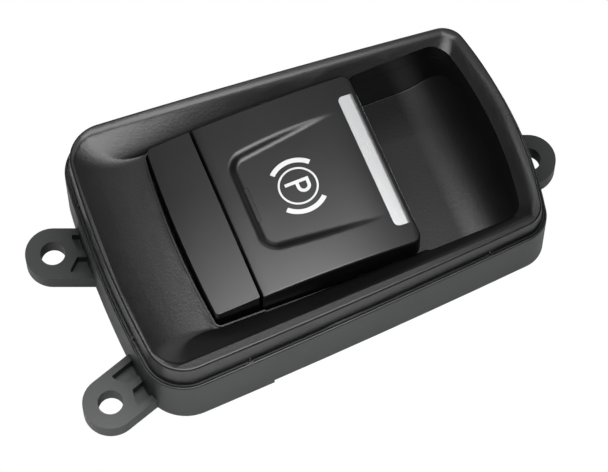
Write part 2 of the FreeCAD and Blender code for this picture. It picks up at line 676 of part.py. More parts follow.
tab_face = "rim_grow - wall - fit_gap"
tab_root = over("-flange_thick / 2")
tab_shaft = ring("TabShaft", tab_face + " - tab_thick", tab_face, over("-tab_foot"), tab_root)
tab_nib = ring("TabNib", tab_face + " - tab_thick / 2", tab_face + " + nib", over("-tab_foot"),
               over("-tab_foot + 2 * nib"))
tabs = common("Tabs", fuse("TabRings", [tab_shaft, tab_nib]),
              tab_blocks("TabBlock", "tab_width / 2", over("-tab_foot"), tab_root))
notch_ring = ring("NotchRing", "base_draft", "rim_grow - 2 * rim_gap", over("-groove_depth"), over("1"))
notches = common("Notches", notch_ring, tab_blocks("NotchBlock", "notch_half", over("-groove_depth"),
                                                   over("1")))
bezel = cut("Bezel", fuse("BezelJoined", [bezel_shell, lip_ring, tabs]), [notches])

# Housing: rim wall, ears, floor plate and rear box.

wall_foot = "flange_height - wall_depth"
housing_wall = plan("HousingWall", crest_outline("rim_grow"), wall_foot, "flange_height - rim_drop")
soften(housing_wall, "rim_round", lambda edge: edge.BoundBox.ZMin > value("flange_height - 1"))
step_block = block("StepBlock", ("-step_left", "-2 * half_width", "%s - 1" % wall_foot),
                   ("2 * half_length", "2 * half_width", "%s + wall_step" % wall_foot))
stepped_wall = cut("SteppedWall", housing_wall, [step_block])


def ear(name, across, along, turn):
    """Lug with a screw hole; its root runs into the wall."""
    def spot(out, aside):
        x = "%s + (%s) * cos(%s) - (%s) * sin(%s)" % (across, out, turn, aside, turn)
        y = "%s + (%s) * sin(%s) + (%s) * cos(%s)" % (along, out, turn, aside, turn)
        return (x, y)
    root = plan_corners(name + "Root", [spot("-ear_reach", "-ear_radius"), spot("0", "-ear_radius"),
                                        spot("0", "ear_radius"), spot("-ear_reach", "ear_radius")],
                        wall_foot, "%s + ear_thick" % wall_foot)
    end = rod(name + "End", "ear_radius", across, along, wall_foot, "ear_thick")
    hole = rod(name + "Hole", "ear_hole", across, along, "%s - 1" % wall_foot, "ear_thick + 2")
    return root, end, hole, spot


ears = [ear("EarA", "ear_a_across", "ear_a_along", "ear_a_turn"),
        ear("EarB", "ear_b_across", "ear_b_along", "ear_b_turn"),
        ear("EarC", "ear_c_across", "ear_c_along", "ear_c_turn")]
ear_blanks = []
for index, (root, end, hole, spot) in enumerate(ears):
    pockets = []
    for turn in (1, -1):
        corners = [spot("-ear_reach", "%d * rib_half" % turn), spot("pocket_neck", "%d * rib_half" % turn),
                   spot("pocket_left", "%d * (pocket_half - 0.8)" % turn),
                   spot("pocket_left", "%d * pocket_half" % turn),
                   spot("-ear_reach", "%d * pocket_half" % turn)]
        pockets.append(plan_corners("Pocket%d%s" % (index, "A" if turn > 0 else "B"), corners[::turn],
                                    "%s + ear_thick - ear_pocket" % wall_foot,
                                    "%s + ear_thick + 1" % wall_foot))
    blank = fuse("EarBlank%d" % index, [root, end])
    ear_blanks.append(cut("EarPocketed%d" % index, blank, pockets) if index < 2 else blank)
wall_with_ears = fuse("WallWithEars", [stepped_wall] + ear_blanks)
relief_inner = block("ReliefInner", ("relief_face - relief_wall", "ear_c_along - relief_half - wall",
                                     wall_foot),
                     ("half_length + 4", "ear_c_along + relief_half + wall", over("-relief_top + wall")))
room = cut("Room", plan("RoomPlan", crest_outline("rim_grow - wall"), "%s - 1" % wall_foot, over("1")),
           [relief_inner])
relief = block("Relief", ("relief_face", "ear_c_along - relief_half", "%s + ear_thick" % wall_foot),
               ("half_length + 8", "ear_c_along + relief_half", over("-relief_top")))
rebate = plan("Rebate", crest_outline("base_draft + groove_width + lip_width + rim_gap"),
              "%s - rim_gap" % bezel_foot, over("1"))
tab_window = common("TabWindow", ring("WindowRing", "rim_grow - wall - 1", "%s + nib + rim_gap" % tab_face,
                                      over("-tab_foot - fit_gap"), over("-tab_foot + 2 * nib + fit_gap")),
                    tab_blocks("WindowBlock", "tab_width / 2 + fit_gap", over("-tab_foot - fit_gap"),
                               over("-tab_foot + 2 * nib + fit_gap")))
shell = cut("HousingShell", wall_with_ears, [room, relief, rebate, tab_window] + [item[2] for item in ears])
floor_right = "well_inner_left - well_wall - fit_gap"
floor_plate = common("FloorPlate", plan("FloorPlan", crest_outline("rim_grow - wall / 2"), wall_foot,
                                        "%s + floor_thick" % wall_foot),
                     block("FloorReach", ("-2 * half_length", "-2 * half_width", "0"),
                           (floor_right, "2 * half_width", "flange_height")))
box_top = "box_roof"
rear_box = plan("RearBox", outline("box_left", "box_right", "box_half", left_round="box_corner",
                                   right_round="box_corner"), "cover_thick", box_top)
box_room = plan("BoxRoom", outline("box_left + box_wall", "box_right - box_wall", "box_half - box_wall",
                                   left_round="box_corner - box_wall", right_round="box_corner - box_wall"),
                "0", "box_roof - floor_thick")
box_room_left = block("BoxRoomLeft", ("box_left + box_wall", "-box_half + box_wall", "0"),
                      ("%s - box_wall" % floor_right, "box_half - box_wall", wall_foot))
box_shell = cut("BoxShell", rear_box, [box_room, box_room_left])
neck = cut("Neck", block("NeckBlock", ("box_left", "-box_half", "box_roof - floor_thick"),
                         (floor_right, "box_half", "%s + floor_thick" % wall_foot)), [box_room_left])
hatch = block("Hatch", ("hatch_left", "-hatch_half", wall_foot),
              ("frame_right - 2 * fit_gap", "hatch_half", "%s + 2 * floor_thick" % wall_foot))
plug_window = block("PlugWindow", ("box_right - 2 * box_wall", "-plug_half - fit_gap", "0"),
                    ("box_right + 1", "plug_half + fit_gap", "plug_high + fit_gap / 2"))


def four(maker, name, left, right, half):
    """One item at each corner of a rectangle."""
    items = []
    for index, (x, y) in enumerate(((left, half), (left, "-" + half), (right, half), (right, "-" + half))):
        items.append(maker("%s%d" % (name, index), x, y))
    return items


boss_foot = "(cover_thick + cover_lip)"
cover_bosses = four(lambda name, x, y: rod(name, "screw_boss", x, y, boss_foot, "box_roof - " + boss_foot),
                    "CoverBoss", "screw_across_left", "screw_across_right", "screw_half")
cover_pilots = four(lambda name, x, y: rod(name, "screw_shank + pin_play", x, y, "0",
                                           "recess + screw_reach + 1"),
                    "CoverPilot", "screw_across_left", "screw_across_right", "screw_half")
board_top = "board_height + board_thick"
board_bosses = four(lambda name, x, y: rod(name, "stud_boss", x, y, board_top,
                                           "box_roof - (%s)" % board_top),
                    "BoardBoss", "stud_left", "stud_right", "stud_half")
board_pilots = four(lambda name, x, y: rod(name, "stud_shank + pin_play", x, y, board_top,
                                           "stud_reach - board_thick + fit_gap"),
                    "BoardPilot", "stud_left", "stud_right", "stud_half")
frame_low = "(%s + floor_thick)" % wall_foot
frame_high = "(%s + frame_thick)" % frame_low
frame_corners = ("frame_left + frame_inset", "frame_right - frame_inset", "(frame_half - frame_inset)")
thread_end = "(%s - stud_reach - fit_gap)" % frame_high
frame_bosses = [rod("FrameBoss%s" % tag, "stud_boss", frame_corners[1], sign + frame_corners[2],
                    "%s - 1" % thread_end, "%s - %s + 1.2" % (wall_foot, thread_end))
                for tag, sign in (("Far", ""), ("Near", "-"))]
frame_threads = four(lambda name, x, y: rod(name, "stud_shank + pin_play", x, y, thread_end,
                                            "%s - %s" % (frame_low, thread_end)), "FrameThread",
                                            *frame_corners)
boss_roots = [block("BossRoot%d" % index, ("%s - stud_boss" % x, "%s - stud_boss" % y,
                                           "box_roof - floor_thick"),
                    ("%s + stud_boss" % x, "%s + stud_boss" % y, "%s + 0.2" % wall_foot))
              for index, (x, y) in enumerate((("stud_left", "stud_half"), ("stud_left", "-stud_half"),
                                              ("screw_across_left", "screw_half"),
                                              ("screw_across_left", "-screw_half")))]
housing_solid = fuse("HousingSolid", [shell, floor_plate, box_shell, neck] + cover_bosses + board_bosses
                     + boss_roots + frame_bosses)
housing = cut("Housing", housing_solid, [hatch, plug_window] + cover_pilots + board_pilots + frame_threads)

# Finger well: a scoop whose floor sweeps up to the right wall.

sweep_top = "flange_height - well_depth + well_sweep"


def scoop(name, grow, top):
    """Side view of the scoop, grown outwards for its outer skin."""
    low = "flange_height - well_depth - (%s)" % grow
    left = "well_inner_left - (%s)" % grow
    right = "well_right + (%s)" % grow
    return side(name, [
        (left, "%s + well_heel + (%s)" % (low, grow), "well_heel + (%s)" % grow),
        ("well_inner_left + well_heel", low), ("well_right - well_sweep", low, "well_sweep + (%s)" % grow),
        (right, "%s + (%s)" % (sweep_top, "0")), (right, top), (left, top),
    ], "well_half + 2 * well_wall")


well_top = "%s - fit_gap / 6" % bezel_foot


def well_outline(grow, left_extra="0"):
    return outline("well_inner_left - (%s)" % left_extra, "well_right", "well_half", "0", "9000", "9000",
                   "end_bow_right", "2 + (%s)" % grow, "well_corner + (%s)" % grow, grow)


well_outer = common("WellOuter", scoop("WellScoopOuter", "well_wall", well_top),
                    plan("WellPlanOuter", well_outline("well_wall"), "box_roof", well_top))
well_inner = common("WellInner", scoop("WellScoopInner", "0", over("1")),
                    plan("WellPlanInner", well_outline("0"), "box_roof", over("1")))
well_rim = plan("WellRim", well_outline("well_wall + well_flange", "-12"), "%s - 1.4" % well_top, well_top)
paddle_room = block("PaddleRoom", ("-2 * well_left", "-2 * half_width", over("-well_lip_drop")),
                    ("well_left - 1.5", "2 * half_width", over("2")))
tab_room = common("TabRoom", ring("TabRoomRing", tab_face + " - tab_thick - fit_gap", "rim_grow",
                                  over("-tab_foot"),
                                  "flange_height"),
                  tab_blocks("TabRoomBlock", "tab_width / 2 + fit_gap", over("-tab_foot"), "flange_height"))
relief_room = block("ReliefRoom", ("relief_face - relief_wall - fit_gap",
                                   "ear_c_along - relief_half - 2 * wall",
                                   wall_foot),
                    ("half_length + 4", "ear_c_along + relief_half + 2 * wall", "flange_height"))
well_flanged = fuse("WellFlanged", [well_outer, cut("WellFlange", well_rim, [tab_room, relief_room])])
finger_well = cut("FingerWell", well_flanged, [well_inner, paddle_room])

# Paddle: an arched cap with a thumb well and a metal trim, on a rocking carrier.


def arched(name, left, right, foot, thick, half):
    """Block with the button's arched top."""
    return side(name, [(left, foot), (right, foot), (right, arch(right, thick), "arch_bow - (%s)" % thick),
                       (left, arch(left, thick))], half)


cap_block = arched("CapBlock", "paddle_left", "paddle_right", over("paddle_foot"), "0", "paddle_half")
soften(cap_block, "paddle_corner", lambda edge: upright(edge) and edge.CenterOfMass.x > 0, "Corners")
soften(cap_block, "paddle_edge", lambda edge: edge.BoundBox.ZMin > value(over("paddle_foot + 1"))
       and edge.BoundBox.ZLength < 2, "Edges")
cap_inner = arched("CapInner", "paddle_left + cap_left_wall", "paddle_right - cap_thick", over("-1"),
                   "cap_thick",
                   "paddle_half - cap_side")


def thumb_floor(x):
    """Height of the thumb well's floor line at X, meeting the arch at its right end."""
    left = "(%s) - thumb_depth" % arch("thumb_left")
    right = "(%s)" % arch("thumb_right")
    return "(%s) + ((%s) - (%s)) * (%s - thumb_left) / (thumb_right - thumb_left)" % (left, right, left, x)


thumb_well = new_body("ThumbWell")
thumb_tilt = "atan((%s - (%s)) / (thumb_right - thumb_left))" % (thumb_floor("thumb_right"),
                                                                 thumb_floor("thumb_left"))
thumb_plan = new_sketch(thumb_well, "ThumbPlan", "XY_Plane", thumb_floor("0"), thumb_tilt, -Y_AXIS)
draw_corners(thumb_plan, [("thumb_left", "-thumb_half_left"), ("thumb_right + 2", "-thumb_half_right"),
                          ("thumb_right + 2", "thumb_half_right"), ("thumb_left", "thumb_half_left")])
thumb_pad = pad(thumb_well, thumb_plan, "2.5 * thumb_depth")
bind(thumb_pad, "TaperAngle", "atan(thumb_slope / thumb_depth)")
soften(thumb_well, "thumb_corner", lambda edge: edge.CenterOfMass.x < value("thumb_left")
       and edge.BoundBox.ZLength > value("thumb_depth"))


def trim_profile(gap):
    """Side view of the trim, a bracket over the paddle's right edge."""
    outer = "paddle_right + 0.1"
    shoulder = "%s - trim_facet" % outer
    return [
        ("%s - (%s)" % (outer + " - trim_thick", gap), "%s - (%s)" % (over("trim_foot"), gap)),
        (outer + " + 0", "%s - (%s)" % (over("trim_foot"), gap)),
        (outer, "%s - trim_fall" % arch(shoulder)),
        (shoulder, "%s + 0.03" % arch(shoulder), "arch_bow"),
        ("trim_left - (%s)" % gap, "%s + 0.03" % arch("trim_left")),
        ("trim_left - (%s)" % gap, "%s - (%s)" % (arch("trim_left", "trim_thick"), gap)),
        ("%s - (%s)" % (outer + " - trim_thick", gap),
         "%s - (%s)" % (arch("paddle_right", "trim_thick + 0.3"), gap)),
    ]


paddle_trim = side("PaddleTrim", trim_profile("0"), "trim_half")
soften(paddle_trim, "trim_corner",
       lambda edge: upright(edge) and edge.CenterOfMass.x < value("trim_left + 0.2"))
trim_seat = side("TrimSeat", trim_profile("trim_gap"), "trim_half + trim_gap")
soften(trim_seat, "trim_corner",
       lambda edge: upright(edge) and edge.CenterOfMass.x < value("trim_left + 0.2"))


def slit(name, gap, low, high):
    return block(name, ("slit_centre - slit_width / 2 - (%s)" % gap, "-slit_half - (%s)" % gap, low),
                 ("slit_centre + slit_width / 2 + (%s)" % gap, "slit_half + (%s)" % gap, high))


stake_foot = over("paddle_foot - stake_flat")
stake_spots = ("stake_left", "stake_right", "stake_half")
stakes = four(lambda name, x, y: rod(name, "stake_radius", x, y, stake_foot,
                                     "%s - (%s)" % (arch("stake_right", "cap_thick / 2"), stake_foot)),
              "Stake", *stake_spots)
stake_heads = four(lambda name, x, y: rod(name, "stake_head", x, y, stake_foot, "stake_flat"), "StakeHead",
                   *stake_spots)
cap_shell = cut("CapShell", cap_block, [cap_inner, thumb_well, trim_seat,
                                        slit("SlitCut", "lens_gap", over("0"),
                                                                              over("2 * button_rise"))])
paddle_cap = fuse("PaddleCap", [cap_shell] + stakes + stake_heads)
lens = cut("Lens", slit("LensBlade", "0", over("lens_foot"), arch("slit_centre")), [thumb_well])

tray_low = over("paddle_foot")
tray_high = "%s + tray_thick" % tray_low
tray = block("Tray", ("tray_left", "-paddle_half + cap_side + fit_gap", tray_low),
             ("paddle_right - cap_thick - fit_gap", "paddle_half - cap_side - fit_gap", tray_high))
arm = block("Arm", ("arm_left", "-arm_half", over("arm_foot")), ("arm_right", "arm_half", over("arm_top")))
web = block("Web", ("slit_centre + 1", "-arm_half", over("arm_foot")), ("arm_right", "arm_half", tray_high))
ribs = [block("Rib%s" % tag,
              ("pivot_across", "%s * boss_inner - (boss_outer - boss_inner) * %s" % (sign, share),
                              tray_low),
              ("9", "%s * boss_inner + (boss_outer - boss_inner) * (1 - %s)" % (sign, share),
               over("pivot_rise + 1")))
        for tag, sign, share in (("Far", "1", "0"), ("Near", "-1", "1"))]
bosses = [rod("Boss%s" % tag, "boss_radius", "pivot_across", y, over("pivot_rise"),
              "boss_outer - boss_inner", "Y")
          for tag, y in (("Far", "boss_inner"), ("Near", "-boss_outer"))]
treads = [rod("Tread%s" % tag, "tread_radius", "pivot_across %s lever" % sign, "-tread_half",
              over("arm_foot"),
              "2 * tread_half", "Y") for tag, sign in (("Pull", "-"), ("Push", "+"))]
bridge = block("Bridge", ("tray_left", "-boss_outer", tray_low), ("arm_right", "boss_outer", tray_high))
pin_bore = rod("PinBore", "pin_radius + pin_play", "pivot_across", "-pin_half - 1", over("pivot_rise"),
               "2 * pin_half + 2", "Y")
guide_slot = rod("GuideSlot", "guide_radius + 0.7", "slit_centre", "0", over("arm_foot - 1"),
                 "arm_top - arm_foot + 2")
stake_holes = four(lambda name, x, y: rod(name, "stake_radius + pin_play", x, y, "%s - 1" % tray_low,
                                          "tray_thick + 2"), "StakeHole", *stake_spots)
carrier = cut("Carrier", fuse("CarrierBulk", [tray, arm, web, bridge] + ribs + bosses + treads),
              [pin_bore, guide_slot] + stake_holes)

pin = rod("PivotPin", "pin_radius", "pivot_across", "-pin_half", over("pivot_rise"), "2 * pin_half", "Y")
pin_grooves = []
clip_discs = []
for tag, y in (("Far", "cheek_outer + 0.15"), ("Near", "-cheek_outer - 0.15 - clip_thick")):
    disc = rod("ClipDisc%s" % tag, "clip_radius", "pivot_across", y, over("pivot_rise"), "clip_thick", "Y")
    core = rod("ClipCore%s" % tag, "pin_radius - 0.3", "pivot_across", y, over("pivot_rise"),
               "clip_thick", "Y")
    mouth = block("ClipMouth%s" % tag, ("pivot_across - 0.75", y, over("pivot_rise")),
                  ("pivot_across + 0.75", "%s + clip_thick" % y, over("pivot_rise + 3")))
    clip_discs.append(cut("Clip%s" % tag, disc, [core, mouth]))
    groove_ring = rod("GrooveRing%s" % tag, "pin_radius + 1", "pivot_across", "%s - 0.05" % y,
                      over("pivot_rise"),
                      "clip_thick + 0.1", "Y")
    groove_core = rod("GrooveCore%s" % tag, "pin_radius - 0.35", "pivot_across", "%s - 0.05" % y,
                      over("pivot_rise"), "clip_thick + 0.1", "Y")
    pin_grooves.append(cut("PinGroove%s" % tag, groove_ring, [groove_core]))
pivot_pin = cut("PivotPinCut", pin, pin_grooves)
pin_clips = gather("PinClips", clip_discs)

# Cover strip over the lever's left arm.

strip_plan = plan("StripPlan", outline("-strip_left", "strip_right", "strip_half", "0", "9000",
                                       "strip_bow", "9000",
                                       "1", "0.3"), over("strip_foot"), over("2 * button_rise"))
strip_arch = arched("StripArch", "-strip_left - 1", "strip_right + 1", over("strip_foot - 1"), "0",
                    "strip_half + 1")
strip_bulk = common("StripBulk", strip_plan, strip_arch)
strip_inner = arched("StripInner", "-strip_left + strip_wall + 0.6", "strip_right - strip_wall + 0.3",
                     over("strip_foot - 1"), "strip_wall", "strip_half - strip_wall")
post_top = "%s - 0.05" % arch("post_across - 3", "strip_wall")
pegs = [rod("Peg%s" % tag, "peg_radius", "post_across", y, "%s - peg_length" % post_top, "peg_length + 1")
        for tag, y in (("Far", "post_half"), ("Near", "-post_half"))]
cover_strip = fuse("CoverStrip", [cut("StripShell", strip_bulk, [strip_inner])] + pegs)

# Mechanism frame: plate, cheeks, posts, guide tubes and stop columns.

frame_plate = block("FramePlate", ("frame_left", "-frame_half", frame_low),
                    ("frame_right", "frame_half", frame_high))
cheek_neck = over("arm_top")
cheeks = []
for tag, near, far in (("Far", "cheek_outer", "-cheek_inner"), ("Near", "-cheek_inner", "cheek_outer")):
    cheeks.append(side("Cheek%s" % tag, [
        ("cheek_left", frame_low), ("cheek_right", frame_low), ("pivot_across + cheek_radius", cheek_neck),
        ("pivot_across + cheek_radius", over("pivot_rise"), "cheek_radius"),
        ("pivot_across - cheek_radius", over("pivot_rise")), ("pivot_across - cheek_radius", cheek_neck),
    ], near, far))
posts = [rod("Post%s" % tag, "post_radius", "post_across", y, frame_low,
             "%s - (%s)" % (post_top, frame_low))
         for tag, y in (("Far", "post_half"), ("Near", "-post_half"))]
post_holes = [rod("PostHole%s" % tag, "peg_radius + pin_play", "post_across", y,
                  "%s - peg_length - 0.5" % post_top,
                  "peg_length + 2") for tag, y in (("Far", "post_half"), ("Near", "-post_half"))]
stops = (("PullFar", "pull_stop_across", "pull_stop_half", "pull_stop_top"),
         ("PullNear", "pull_stop_across", "-pull_stop_half", "pull_stop_top"),
         ("PushFar", "push_stop_across", "push_stop_half", "push_stop_top"),
         ("PushNear", "push_stop_across", "-push_stop_half", "push_stop_top"))
columns = [rod("Column%s" % tag, "bumper_radius + 0.3", x, y, frame_low,
               "%s - bumper_tall - (%s)" % (over(top), frame_low)) for tag, x, y, top in stops]
tubes = [rod("Tube%s" % tag, "head_radius", "pivot_across %s lever" % sign, "0", "guide_foot",
             "%s - guide_foot" % frame_high) for tag, sign in (("Pull", "-"), ("Push", "+"))]
bores = [rod("Bore%s" % tag, "stem_radius + pin_play", "pivot_across %s lever" % sign, "0",
             "guide_foot - 1",
             "flange_height") for tag, sign in (("Pull", "-"), ("Push", "+"))]
guide_hole = rod("GuideHole", "guide_radius + 0.1", "slit_centre", "0", "guide_foot - 1", "flange_height")
frame_pilots = four(lambda name, x, y: rod(name, "stud_shank + stud_play", x, y, "0", "flange_height"),
                    "FramePilot",
                    *frame_corners)
frame = cut("Frame", fuse("FrameBulk", [frame_plate] + cheeks + posts + columns + tubes),
            bores + post_holes + [guide_hole, pin_bore] + frame_pilots)
bumpers = gather("StopBumpers", [rod("Bumper%s" % tag, "bumper_radius", x, y,
                                     "%s - bumper_tall" % over(top),
                                     "bumper_tall") for tag, x, y, top in stops])

# Plungers, springs and magnets.

head_top = over("arm_foot - tread_radius - tread_gap")
head_low = "%s - head_thick" % head_top
magnet_top = "stem_foot + magnet_length"


def plunger(tag, sign):
    x = "pivot_across %s lever" % sign
    bulk = fuse("%sPlungerBulk" % tag, [rod("%sHead" % tag, "head_radius", x, "0", head_low, "head_thick"),
                                        rod("%sStem" % tag, "stem_radius", x, "0", "stem_foot",
                                            "%s - stem_foot" % head_top)])
    body = cut("%sPlunger" % tag, bulk, [rod("%sSocket" % tag, "magnet_radius", x, "0", "stem_foot - 1",
                                             "magnet_length + 1")])
    magnet = rod("%sMagnet" % tag, "magnet_radius - 0.03", x, "0", "stem_foot", "magnet_length - 0.03")
    return body, magnet


def spring(tag, sign):
    """Coil round a plunger stem between the guide tube and the head."""
    body = new_body("%sSpring" % tag)
    sketch = new_sketch(body, "%sWire" % tag, "XZ_Plane", "0")
    draw_corners(sketch, [("coil_radius + wire_radius * cos(%d)" % turn,
                           "wire_radius + wire_radius * sin(%d)" % turn) for turn in range(30, 390, 60)])
    item = body.newObject("PartDesign::AdditiveHelix", "%sHelix" % tag)
    item.Profile = sketch
    item.ReferenceAxis = (sketch, ["V_Axis"])
    item.Mode = 0
    bind(item, "Pitch", "coil_pitch")
    bind(item, "Height", "%s - (%s) - 2 * wire_radius" % (head_low, frame_high))
    sketch.Visibility = False
    body.Tip = item
    place(body, "pivot_across %s lever" % sign, "0", frame_high)
    return body


pull_plunger, pull_magnet = plunger("Pull", "-")
push_plunger, push_magnet = plunger("Push", "+")
pull_spring = spring("Pull", "-")
push_spring = spring("Push", "+")

light_guide = fuse("LightGuide", [
    rod("GuideRod", "guide_radius", "slit_centre", "0", "%s + lamp_tall + 2 * fit_gap" % board_top,
        "%s - (%s + lamp_tall + 2 * fit_gap)" % (over("guide_top"), board_top)),
    rod("GuideCollar", "guide_collar", "slit_centre", "0", frame_high, "1.2")])

# Circuit board and what it carries.

board_plate = plan("BoardPlate", outline("board_left", "board_right", "board_half", left_round="1.5",
                                         right_round="1.5"), "board_height", board_top)
board_holes = four(lambda name, x, y: rod(name, "stud_shank + stud_play", x, y, "0", "flange_height"),
                   "BoardHole",
                   "stud_left", "stud_right", "stud_half")
board = cut("Board", board_plate, board_holes)
chip = block("Chip", ("chip_across - chip_half", "chip_side - chip_half", board_top),
             ("chip_across + chip_half", "chip_side + chip_half", "%s + chip_tall" % board_top))
sensors = gather("Sensors", [block("Sensor%s" % tag,
                                   ("pivot_across %s lever - sensor_half" % sign, "-sensor_half",
                                                      board_top),
                                   ("pivot_across %s lever + sensor_half" % sign, "sensor_half",
                                    "%s + sensor_tall" % board_top)) for tag,
                                    sign in (("Pull", "-"), ("Push", "+"))])
lamp = block("Lamp", ("slit_centre - lamp_half", "-lamp_half", board_top),
             ("slit_centre + lamp_half", "lamp_half", "%s + lamp_tall" % board_top))
capacitor_spots = [("chip_across + 2 * chip_half", "chip_side - chip_half"),
                   ("chip_across + 2 * chip_half", "chip_side + chip_half / 2"),
                   ("slit_centre - 2.5", "-chip_side"), ("slit_centre + 2", "-chip_side"),
                   ("slit_centre + 6.5", "-chip_side"), ("slit_centre + 6.5", "chip_side")]
capacitors = gather("Capacitors", [
    block("Capacitor%d" % index, (x, y, board_top), ("%s + 2" % x, "%s + 1.2" % y, "%s + 1.1" % board_top))
    for index, (x, y) in enumerate(capacitor_spots)])
contact_back = "(board_right - cheek_reach / 2)"
header_back = "(board_right + fit_gap)"
contact_blocks = []
contact_holes = []
for row, height in (("Low", "contact_low"), ("High", "contact_high")):
    for step in range(6):
        y = "contact_pitch * (%d - 2.5)" % step
        for group, name, play in ((contact_blocks, "Contact", "0"),
                                  (contact_holes, "ContactHole", "contact_play")):
            grow = "(contact_half + %s)" % play
            low = (contact_back, "%s - %s" % (y, grow), "%s - %s" % (height, grow))
            high = ("contact_tip", "%s + %s" % (y, grow), "%s + %s" % (height, grow))
            group.append(block("%s%s%d" % (name, row, step), low, high))
contacts = gather("Contacts", contact_blocks)
socket_room = block("SocketRoom", ("plug_floor", "-plug_half + plug_wall", "plug_low + plug_wall"),
                    ("plug_end + 1", "plug_half - plug_wall", "plug_high - plug_wall"))
solder_room = block("SolderRoom", (header_back + " - 1", "-plug_half + plug_wall", "plug_low + plug_wall"),
                    ("plug_floor - plug_web", "plug_half - plug_wall", "plug_high - plug_wall"))
header_block = block("HeaderBlock", (header_back, "-plug_half", "plug_low"),
                     ("plug_end", "plug_half", "plug_high"))
header_feet = [block("HeaderFoot%s" % tag, ("board_right - cheek_reach", low, board_top),
                     (header_back + " + 1", high, "plug_high - plug_wall"))
               for tag, low, high in (("Far", "plug_half - plug_wall", "plug_half"),
                                      ("Near", "-plug_half", "-plug_half + plug_wall"))]
header = cut("Header", fuse("HeaderBulk", [header_block] + header_feet),
             [socket_room, solder_room] + contact_holes)

# Rear cover and screws.

cover_plate = plan("CoverPlate", outline("box_left", "box_right", "box_half", left_round="box_corner",
                                         right_round="box_corner"), "0", "cover_thick")
lip_outline = outline("box_left + box_wall + fit_gap", "box_right - box_wall - fit_gap",
                      "box_half - box_wall - fit_gap", left_round="1", right_round="1")
cover_lip = cut("CoverLip", plan("CoverLipOuter", lip_outline, "cover_thick - 0.2",
                                 "cover_thick + cover_lip - fit_gap"),
                [plan("CoverLipInner", outline(
                    "box_left + 2 * box_wall", "box_right - 2 * box_wall", "box_half - 2 * box_wall",
                    left_round="1", right_round="1"), "cover_thick - 0.4", "cover_thick + cover_lip + 1"),
                 block("LipMouth", ("box_right - 3 * box_wall", "-plug_half - fit_gap", "cover_thick"),
                       ("box_right", "plug_half + fit_gap", "flange_height"))])
cover_pads = four(lambda name, x, y: rod(name, "screw_boss - 0.1", x, y, "cover_thick - 0.2",
                                         "cover_lip + 0.2 - 0.05"), "CoverPad", "screw_across_left",
                  "screw_across_right", "screw_half")
cover_pads = [common("PadsInside", fuse("CoverPads", cover_pads),
                     plan("PadLimit", lip_outline, "cover_thick - 0.2", "%s - pin_play" % boss_foot))]
cover_sinks = four(lambda name, x, y: rod(name, "screw_head + 0.2", x, y, "-1", "recess + 1"), "CoverSink",
                   "screw_across_left", "screw_across_right", "screw_half")
cover_holes = four(lambda name, x, y: rod(name, "screw_shank + 0.2", x, y, "-1", "flange_height"),
                   "CoverHole",
                   "screw_across_left", "screw_across_right", "screw_half")
rear_cover = cut("RearCover", fuse("CoverBulk", [cover_plate, cover_lip] + cover_pads),
                 cover_sinks + cover_holes)


def screw(name, x, y, head_low, kind, downward=False):
    """Pan-head screw with a cross recess, driven upwards unless told otherwise."""
    head_tall, head_radius, shank_radius, reach = (kind + "_head_tall", kind + "_head", kind + "_shank",
                                                   kind + "_reach")
    shank_low = "%s - %s" % (head_low, reach) if downward else "%s + %s" % (head_low, head_tall)
    cross_low = "%s + %s - cross_deep" % (head_low, head_tall) if downward else "%s - cross_deep" % head_low
    head = rod(name + "Head", head_radius, x, y, head_low, head_tall)
    shank = rod(name + "Shank", shank_radius, x, y, shank_low, reach)
    cross = [block("%sCross%d" % (name, index), ("%s - %s" % (x, a), "%s - %s" % (y, b), cross_low),
                   ("%s + %s" % (x, a), "%s + %s" % (y, b), "%s + 2 * cross_deep" % cross_low))
             for index, (a, b) in enumerate((("cross_long", "cross_half"), ("cross_half", "cross_long")))]
    return cut(name, fuse(name + "Bulk", [head, shank]), cross)


cover_screws = gather("CoverScrews", four(lambda name, x,
                                          y: screw(name, x, y, "(recess - screw_head_tall)", "screw"),
                                          "CoverScrew", "screw_across_left", "screw_across_right",
                                          "screw_half"))
board_screws = gather("BoardScrews", four(lambda name, x,
                                          y: screw(name, x, y, "(board_height - stud_head_tall)", "stud"),
                                          "BoardScrew", "stud_left", "stud_right", "stud_half"))
frame_screws = gather("FrameScrews", four(lambda name, x, y: screw(name, x, y, frame_high, "stud", True),
                                          "FrameScrew", *frame_corners))

# Check and write out.

NODES = {
    "housing": housing, "bezel": bezel, "finger_well": finger_well, "cover_strip": cover_strip,
    "paddle_cap": paddle_cap, "paddle_trim": paddle_trim, "indicator_lens": lens, "paddle_carrier": carrier,
    "pivot_pin": pivot_pin, "pin_clips": pin_clips, "mechanism_frame": frame, "stop_bumpers": bumpers,
    "pull_plunger": pull_plunger, "push_plunger": push_plunger, "pull_magnet": pull_magnet,
    "push_magnet": push_magnet, "pull_spring": pull_spring, "push_spring": push_spring,
    "light_guide": light_guide, "circuit_board": board, "controller_chip": chip,
    "position_sensors": sensors,
    "indicator_light": lamp, "board_capacitors": capacitors, "connector_header": header,
    "connector_contacts": contacts, "rear_cover": rear_cover, "cover_screws": cover_screws,
    "board_screws": board_screws, "frame_screws": frame_screws,
}

doc.recompute()
faults = [item.Label for item in doc.Objects if {"Invalid", "Error"} & set(item.State)]
if faults:
    raise RuntimeError("features that failed: %s" % ", ".join(faults))
os.makedirs("parts", exist_ok=True)
for node, item in NODES.items():
    shape = item.Shape
    if shape.isNull() or not shape.isValid():
        raise RuntimeError("bad shape: %s" % node)
    item.Label = node
    shape.exportStep("parts/%s.step" % node)
    print("%-20s %8.1f mm3  %d solids  %s" % (node, shape.Volume, len(shape.Solids), shape.BoundBox))
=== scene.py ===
import json
import math

import bmesh
import bpy
from mathutils import Matrix, Vector
from mathutils.bvhtree import BVHTree


